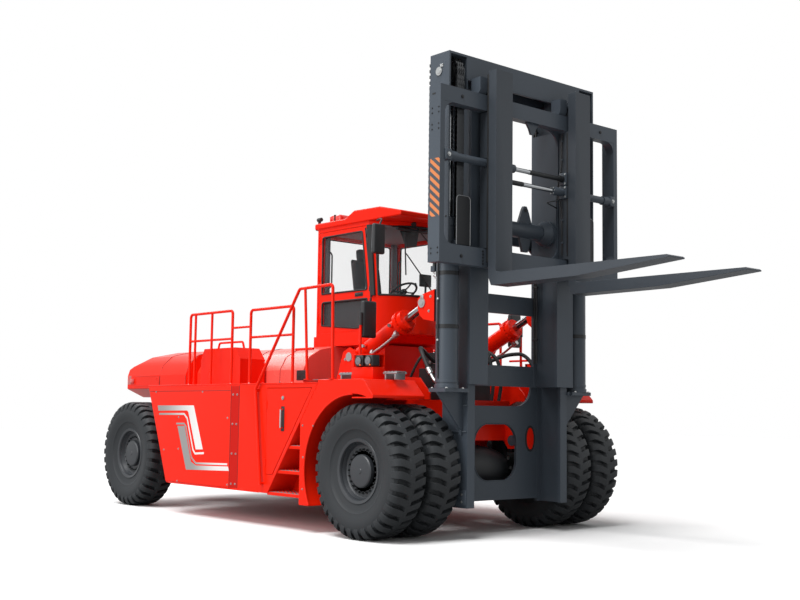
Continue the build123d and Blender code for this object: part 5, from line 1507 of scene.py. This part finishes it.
@dataclass
class Carriage:
    """Fork carriage, forks and positioners."""

    truck: Truck
    low: float = 3.53
    high: float = 5.245

    def corner(self, form: Form, x: tuple[float, float], y: float, z: float, dz: float, radius: float) -> None:
        """Fills a window's outer corner to a round one.

        Args:
            form: Form that takes the piece.
            x: Both faces along X.
            y: The corner's Y.
            z: The corner's Z.
            dz: Way into the window along Z.
            radius: Radius of the round corner.
        """
        steps = [math.pi / 2 * i / 6 for i in range(7)]
        points = [(x[0], y, z)] + [(x[0], y - radius * (1 - math.sin(a)), z + dz * radius * (1 - math.cos(a)))
                                   for a in steps]
        form.outline(points, (x[1] - x[0], 0, 0))

    def frame_work(self) -> None:
        """Softens the carriage, rounds its windows and adds the arm plates and tube discs."""
        self.truck.soften("carriage", Paint.DARK, 0.01)
        form, bolts, dots, film, slot, shield, rim = forms(7)
        face = (0.947, 1.073)
        for _ in mirrored(form, bolts, dots, film, slot, shield, rim):
            for z, dz in ((self.low, 1), (self.high, -1)):
                self.corner(form, face, 1.585, z, dz, 0.15)
                self.corner(form, (0.917, 0.943), 0.586, z, dz, 0.2)
            self.corner(form, face, 0.632, self.high, -1, 0.1)
            form.rod((0.76, 0.52, 3.9), (0.76, 0.584, 3.9), 0.175, 40)
            form.rod((0.76, 0.4, 3.9), (0.76, 0.522, 3.9), 0.115, 40, 0.165)
            arm = [(0.93, 3.56), (0.93, 4.4), (0.7, 4.3), (0.56, 4.05), (0.5, 3.8)]
            arm += [(0.52 + 0.02 * i, 3.6 - 0.02 * math.sin(i)) for i in range(3)]
            form.outline([(x, 0.578, z) for x, z in arm], (0, -0.008, 0))
            for index in range(5):
                bolts.bolt((1.075, 0.935, 3.34 + 0.038 * index), (1, 0, 0), 0.01)
            for z in (3.4, 5.345):
                bolts.bolt((1.075, 1.3, z), (1, 0, 0), 0.016)
            for z in (5.16, 5.1, 4.96, 4.9, 3.47, 3.41):
                for x in (0.93, 1.045):
                    dots.bolt((x, 1.66, z), (0, 1, 0), 0.008)
            film.block((0.905, 1.069), (1.6596, 1.6612), (3.845, 4.545), 0.0)
            # A thin black strip near the top of each end plate.
            slot.block((0.93, 0.985), (1.659, 1.662), (5.325, 5.345), 0.0)
            guard = [(1.28, 3.56), (1.28, 4.13), (1.25, 4.16), (1.08, 4.16), (1.05, 4.13), (1.05, 3.56)]
            shield.outline([(0.955, y, z) for y, z in guard], (0.012, 0, 0))
            rim.sweep([(0.969, y, z) for y, z in guard], 0.0055, 6, 3, 0.02)
        form.outline([(0.74, 0.0, 3.96), (0.74, 0.085, 4.17), (0.74, 0.115, 4.22), (0.74, 0.165, 4.22),
                      (0.74, 0.195, 4.17), (0.74, 0.28, 3.96)], (0.04, 0, 0))
        form.outline([(0.74, 0.02, 3.84), (0.74, 0.09, 3.62), (0.74, 0.19, 3.62), (0.74, 0.26, 3.84)], (0.04, 0, 0))
        form.outline([(1.0, -0.12, 5.245), (1.0, 0.12, 5.245), (1.0, 0.06, 5.17), (1.0, 0.03, 5.1), (1.0, -0.03, 5.1),
                      (1.0, -0.06, 5.17)], (0.03, 0, 0))
        form.cast("carriage_gussets", Paint.DARK, "carriage", bevel=0.004)
        bolts.cast("carriage_bolts", Paint.BLACK, "carriage")
        shield.cast("chain_shields", Paint.BLACK, "carriage")
        rim.cast("shield_rims", Paint.ALLOY, "carriage")
        dots.cast("end_plate_bolts", Paint.BLACK, "carriage")
        film.cast("hazard_films", Paint.HAZARD, "carriage")
        slot.cast("end_plate_dark_lines", Paint.SEAL, "carriage")
        eye = Form()
        eye.rod((0.738, 0.14, 4.165), (0.783, 0.14, 4.165), 0.026, 20)
        eye.cast("lifting_eye", Paint.SEAL, "carriage")

    def forks(self) -> None:
        """Softens the forks and adds their hook bolts, clamps, hose lines and black strips of painted shade along the
        shanks.
        """
        for side, sign in SIDES:
            self.truck.soften(f"fork_{side}", Paint.FORK, 0.022)
            form, bolts, hose, shade_strip = forms(4, sign)
            # Thin black strips along the side of each shank paint the shade that falls there.
            shade_strip.block((1.086, 1.112), (0.88, 0.888), (3.36, 5.7), 0.003)
            shade_strip.block((1.086, 1.112), (0.593, 0.6), (3.58, 5.22), 0.002)
            for z in (5.6, 5.5):
                bolts.bolt((0.975, 0.634, z), (0, -1, 0), 0.016)
            form.block((0.985, 1.1), (0.625, 0.845), (5.56, 5.6), 0.01)
            for near, far in ((0.602, 0.475), (0.878, 1.005)):
                form.outline([(0.925, near, 5.655), (1.085, near, 5.655), (1.085, near, 5.5), (1.06, near, 5.455),
                              (0.925, near, 5.455)], (0, far - near, 0))
            for z in (4.6, 4.425):
                form.block((0.985, 1.105), (0.56, 0.598), (z - 0.085, z + 0.085), 0.01)
                for dz in (-0.06, 0.06):
                    bolts.bolt((1.09, 0.56, z + dz), (0, -1, 0), 0.01)
            line = [(1.02, 0.582, 5.2), (1.02, 0.575, 4.75), (0.965, 0.57, 4.6), (0.965, 0.57, 4.4),
                    (1.02, 0.575, 4.2), (1.02, 0.582, 3.6)]
            hose.sweep(line, 0.01, 8, 5, 0.1)
            for z in (5.1, 4.85, 4.05, 3.75):
                form.block((1.005, 1.035), (0.568, 0.598), (z, z + 0.025), 0.005)
            form.cast(f"fork_clamps_{side}", Paint.DARK, f"fork_{side}")
            bolts.cast(f"fork_bolts_{side}", Paint.STEEL, f"fork_{side}")
            hose.cast(f"fork_hoses_{side}", Paint.HOSE, f"fork_{side}")
            shade_strip.cast(f"fork_shank_shade_strips_{side}", Paint.SEAL, f"fork_{side}")

    def positioners(self) -> None:
        """Builds the positioner barrels with glands and pins, the chrome of their rods and black sleeves that paint the
        shade on part of each rod.
        """
        form, bolts, hose = forms(3)
        for _, z in zip(mirrored(form, bolts, hose), (4.6, 4.425)):
            form.rod((1.04, 1.583, z), (1.04, 0.43, z), 0.048, 32)
            form.rod((1.04, 0.52, z), (1.04, 0.365, z), 0.054, 32)
            form.rod((1.04, 1.5, z), (1.04, 1.37, z), 0.06, 32)
            form.block((0.985, 1.1), (1.485, 1.584), (z - 0.068, z + 0.068), 0.012)
            for spoke in spokes(6, 0.041, FORWARD, UP):
                bolts.bolt(Vector((1.04, 0.365, z)) + spoke, (0, -1, 0), 0.006)
            bolts.bolt((1.1, 1.535, z), (1, 0, 0), 0.018)
            hose.sweep([(1.04, 0.47, z - 0.05), (1.04, 0.47, z - 0.12), (0.99, 0.3, z - 0.16), (0.955, 0.55, z - 0.2)],
                       0.008, 8, 5, 0.06)
        form.cast("positioner_bodies", Paint.DARK, "carriage", ["positioner_barrels"], bevel=0.002)
        bolts.cast("positioner_bolts", Paint.STEEL, "carriage")
        hose.cast("positioner_hoses", Paint.HOSE, "carriage")
        for side, sign in SIDES:
            rod, other = Form(sign), 4.425 if sign < 0 else 4.6
            rod.rod((1.04, 0.59, other), (1.04, -0.98, other), 0.0285, 24)
            rod.cast(f"positioner_chrome_{side}", Paint.CHROME, f"fork_{side}")
            # Black sleeves over part of each chrome rod paint the shade that falls on it.
            sleeve = Form(sign)
            sleeve.rod((1.04, 0.59, other), (1.04, 0.2 if sign < 0 else -0.08, other), 0.031, 24)
            sleeve.rod((1.04, 0.59, other), (1.04, 0.5, other), 0.044, 24)
            sleeve.cast(f"positioner_rod_shade_sleeves_{side}", Paint.BLACK, f"fork_{side}")

    def build(self) -> None:
        """Builds the whole carriage."""
        self.frame_work()
        self.forks()
        self.positioners()


# --------------------------------------------------------------- tilt cylinders


@dataclass
class TiltCylinders:
    """Both tilt cylinders."""

    truck: Truck
    y: float = 1.005
    rear: Point = (-1.2, 0.0, 2.262)
    eye: Point = (0.17, 0.0, 2.91)

    def build(self) -> None:
        """Builds the barrels with bolted heads, the rods and the clevises."""
        for side, sign in SIDES:
            start = Vector((self.rear[0], self.y, self.rear[2]))
            end = Vector((self.eye[0], self.y, self.eye[2]))
            way = (end - start).normalized()
            across = Vector((0, 1, 0))
            up = across.cross(way) * -1
            self.truck.soften(f"tilt_barrel_{side}", Paint.RED, 0.006)
            self.truck.paint(f"tilt_rod_{side}", Paint.CHROME)
            form, bolts, dark = forms(3, sign)
            for at, reach, radius in ((0.2, 0.05, 0.136), (0.955, 0.06, 0.158), (1.05, 0.045, 0.134)):
                form.rod(start + way * at, start + way * (at + reach), radius, 40)
            for count, along, radius, head_size in ((20, 1.015, 0.144, 0.011), (12, 1.093, 0.108, 0.009)):
                for spoke in spokes(count, radius, across, up):
                    bolts.bolt(start + way * along + spoke, way, head_size)
            for at in (0.32, 0.9):
                port = start + way * at + Vector((0, 0.1, 0))
                form.rod(port, port + Vector((0, 0.045, 0)), 0.032, 16)
                dark.rod(port + Vector((0, 0.04, 0)), port + Vector((0, 0.075, 0)), 0.022, 12)
            under = (-up * 0.8 + across * 0.6).normalized()
            a, b = start + way * 0.9 + under * 0.12, start + way * 0.36 + under * 0.12
            dark.rod(a, a + under * 0.075, 0.034, 14)
            dark.rod(a + under * 0.065 - way * 0.03, a + under * 0.065 + way * 0.05, 0.03, 14)
            dark.rod(b, b + under * 0.06, 0.03, 14)
            dark.sweep([a + under * 0.065 - way * 0.02, (a + b) / 2 + under * 0.085, b + under * 0.06], 0.017, 10, 4,
                       0.08)
            form.cast(f"tilt_heads_{side}", Paint.RED, f"tilt_barrel_{side}", bevel=0.003)
            bolts.cast(f"tilt_bolts_{side}", Paint.RED_TREAD, f"tilt_barrel_{side}")
            dark.cast(f"tilt_fittings_{side}", Paint.STEEL, f"tilt_barrel_{side}")
            head, pin = forms(2, sign)
            shape = [end - way * 0.121 - up * 0.07, end - way * 0.121 + up * 0.07, end - way * 0.1 + up * 0.103,
                     end + way * 0.07 + up * 0.103, end + way * 0.095 + up * 0.08, end + way * 0.095 - up * 0.08,
                     end + way * 0.07 - up * 0.103, end - way * 0.1 - up * 0.103]
            head.outline([p - across * 0.053 for p in shape], across * 0.106)
            head.cast(f"tilt_clevis_{side}", Paint.RED, f"tilt_rod_{side}", bevel=0.008)
            pin.rod(end - across * 0.058, end + across * 0.058, 0.052, 24)
            pin.cast(f"tilt_pin_{side}", Paint.STEEL, f"tilt_rod_{side}")


# --------------------------------------------------------------- undercarriage


@dataclass
class Undercarriage:
    """Chassis frame, drive axle and steered axle."""

    truck: Truck

    def build(self) -> None:
        """Softens the frame and axles and adds their bolts, lines and fittings."""
        self.truck.soften("frame", Paint.RED, 0.008)
        self.truck.soften("drive_axle", Paint.BLACK, 0.01)
        self.truck.soften("steer_axle", Paint.BLACK, 0.01)
        for side, _ in SIDES:
            self.truck.soften(f"knuckle_{side}", Paint.BLACK, 0.008)
        bolts, lines, bright, red = forms(4)
        for _ in mirrored(bolts, bright, lines, red):
            for spoke in spokes(10, 0.215, FORWARD, UP):
                bolts.bolt(Vector((0, 0.475, AXLE_HEIGHT)) + spoke, (0, 1, 0), 0.016)
            for y, out in ((0.842, -1), (1.168, 1)):
                bright.rod((-1.2, y + 0.004 * out, 2.262), (-1.2, y + 0.012 * out, 2.262), 0.06, 28)
                for step in (-0.08, 0.08):
                    bolts.bolt((-1.2 + step, y + 0.003 * out, 2.262 - abs(step) * 0.4), (0, out, 0), 0.013)
            for x in (-1.5, -1.2, -0.9):
                for y in (0.91, 1.08):
                    bolts.bolt((x, y, 1.76), (0, 0, 1), 0.016)
            lines.sweep([(-0.45, 0.3, 2.3), (-0.3, 0.36, 2.42), (0.02, 0.42, 2.3), (0.08, 0.44, 1.95),
                         (0.06, 0.4, 1.69)], 0.024, 12, 6, 0.2)
            lines.sweep([(-0.4, 0.18, 2.3), (-0.22, 0.2, 2.5), (0.06, 0.22, 2.34), (0.12, 0.24, 1.9),
                         (0.08, 0.24, 1.69)], 0.024, 12, 6, 0.2)
            lines.sweep([(-0.5, 0.4, 2.15), (-0.35, 0.62, 2.3), (-0.4, 0.72, 2.1), (-0.6, 0.7, 1.76)], 0.018, 10, 6,
                        0.12)
            for y in (0.18, 0.3):
                bright.rod((-0.43, y, 2.28), (-0.39, y, 2.34), 0.03, 12)
            for index in range(4):
                bright.rod((-0.52 + 0.09 * index, 0.37, 2.2), (-0.52 + 0.09 * index, 0.41, 2.2), 0.024, 12)
            red.outline([(-0.6, 0.87, 1.7), (-0.6, 0.87, 2.0), (-0.1, 0.87, 1.98), (0.1, 0.87, 1.78),
                         (0.1, 0.87, 1.7)], (0, 0.02, 0))
        bolts.cast("chassis_bolts", Paint.STEEL)
        lines.cast("chassis_hoses", Paint.HOSE)
        bright.cast("chassis_fittings", Paint.STEEL)
        red.cast("chassis_brackets", Paint.RED)


# --------------------------------------------------------------- stage


@dataclass
class Studio:
    """Pale floor, soft light and the camera at the photograph's angle."""

    lens: float = 51.94
    place: Point = (12.5085, -10.809, 1.546)
    yaw: float = 48.981
    pitch: float = 5.506
    roll: float = 0.762

    def camera(self) -> None:
        """Sets the camera from its measured place, turn and lens."""
        yaw, pitch, roll = (math.radians(a) for a in (self.yaw, self.pitch, self.roll))
        forward = Vector((-math.sin(yaw) * math.cos(pitch), math.cos(yaw) * math.cos(pitch), math.sin(pitch)))
        right = Vector((math.cos(yaw), math.sin(yaw), 0))
        up = right.cross(forward)
        right_tilted = right * math.cos(roll) + up * math.sin(roll)
        up_tilted = up * math.cos(roll) - right * math.sin(roll)
        data = bpy.data.cameras.new("camera")
        data.sensor_width = 36.0
        data.sensor_fit = "HORIZONTAL"
        data.lens = self.lens
        data.clip_end = 200.0
        camera = placed("camera", data)
        turn = Matrix((right_tilted, up_tilted, -forward)).transposed().to_4x4()
        camera.matrix_world = Matrix.Translation(self.place) @ turn
        bpy.context.scene.camera = camera

    def floor(self) -> None:
        """Lays a pale floor that shows white and keeps the truck's shadow."""
        bm = bmesh.new()
        bmesh.ops.create_grid(bm, x_segments=1, y_segments=1, size=60.0)
        mesh = bpy.data.meshes.new("floor")
        bm.to_mesh(mesh)
        bm.free()
        floor = placed("floor", mesh)
        made = bpy.data.materials.new("floor_pale")
        made.use_nodes = True
        tree = made.node_tree
        tone = Groups.drifted(tree, node(tree, "TexCoord").outputs["Object"], (0.96, 0.96, 0.96, 1), 0.3, 0.02)
        seen = mix_node(tree, node(tree, "LightPath").outputs["Is Camera Ray"], (0.42, 0.42, 0.42, 1),
                        tone.outputs["Colour"])
        feed(tree, tree.nodes["Principled BSDF"], {"Base Color": seen, "Roughness": 0.9, "Specular IOR Level": 0.1})
        floor.data.materials.append(made)

    def light(self) -> None:
        """Lights the truck softly from above, the right and high behind."""
        data = bpy.data.lights.new("sun", "SUN")
        data.energy, data.angle = 2.9, math.radians(30)
        sun = placed("sun", data)
        sun.rotation_euler = Vector((-0.1, 0.44, -0.9)).to_track_quat("-Z", "Y").to_euler()
        lamps = (("key", (0.5, -14.0, 6.0), 7.0, 700.0), ("sheen", (-9.5, -0.5, 10.5), 6.0, 420.0))
        for name, place, size, power in lamps:
            data = bpy.data.lights.new(name, "AREA")
            data.shape = "SQUARE"
            data.size = size
            data.energy = power
            lamp = placed(name, data)
            lamp.location = place
            aim = Vector((0.5, 0, 1.6)) - Vector(place)
            lamp.rotation_euler = aim.to_track_quat("-Z", "Y").to_euler()

    def world(self) -> None:
        """Fills with an even sky and shows plain white behind the truck."""
        world = bpy.data.worlds.new("world")
        bpy.context.scene.world = world
        world.use_nodes = True
        tree = world.node_tree
        tree.nodes.clear()
        rays = node(tree, "LightPath").outputs
        fill, seen = (node(tree, "Background", Color=(1, 1, 1, 1), Strength=power) for power in (0.3, 1.0))
        either = math_node(tree, "MAXIMUM", rays["Is Camera Ray"], rays["Is Glossy Ray"])
        mix = tree.nodes.new("ShaderNodeMixShader")
        feed(tree, mix, {0: math_node(tree, "MAXIMUM", either, rays["Is Transmission Ray"]), 1: fill.outputs[0],
                         2: seen.outputs[0]})
        node(tree, "OutputWorld", Surface=mix.outputs[0])

    def build(self) -> None:
        """Sets the camera, floor, lights and world."""
        bpy.context.scene.view_settings.view_transform = "Standard"
        self.camera()
        self.floor()
        self.light()
        self.world()


def main() -> None:
    """Builds the truck's looks in order."""
    logging.basicConfig(level=logging.INFO, format="%(message)s")
    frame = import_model()
    truck = Truck(frame)
    Studio().build()
    Wheels(truck).build()
    Body(truck).build()
    Cab(truck).build()
    Mast(truck).build()
    Carriage(truck).build()
    TiltCylinders(truck).build()
    Undercarriage(truck).build()


if __name__ == "__main__":
    main()
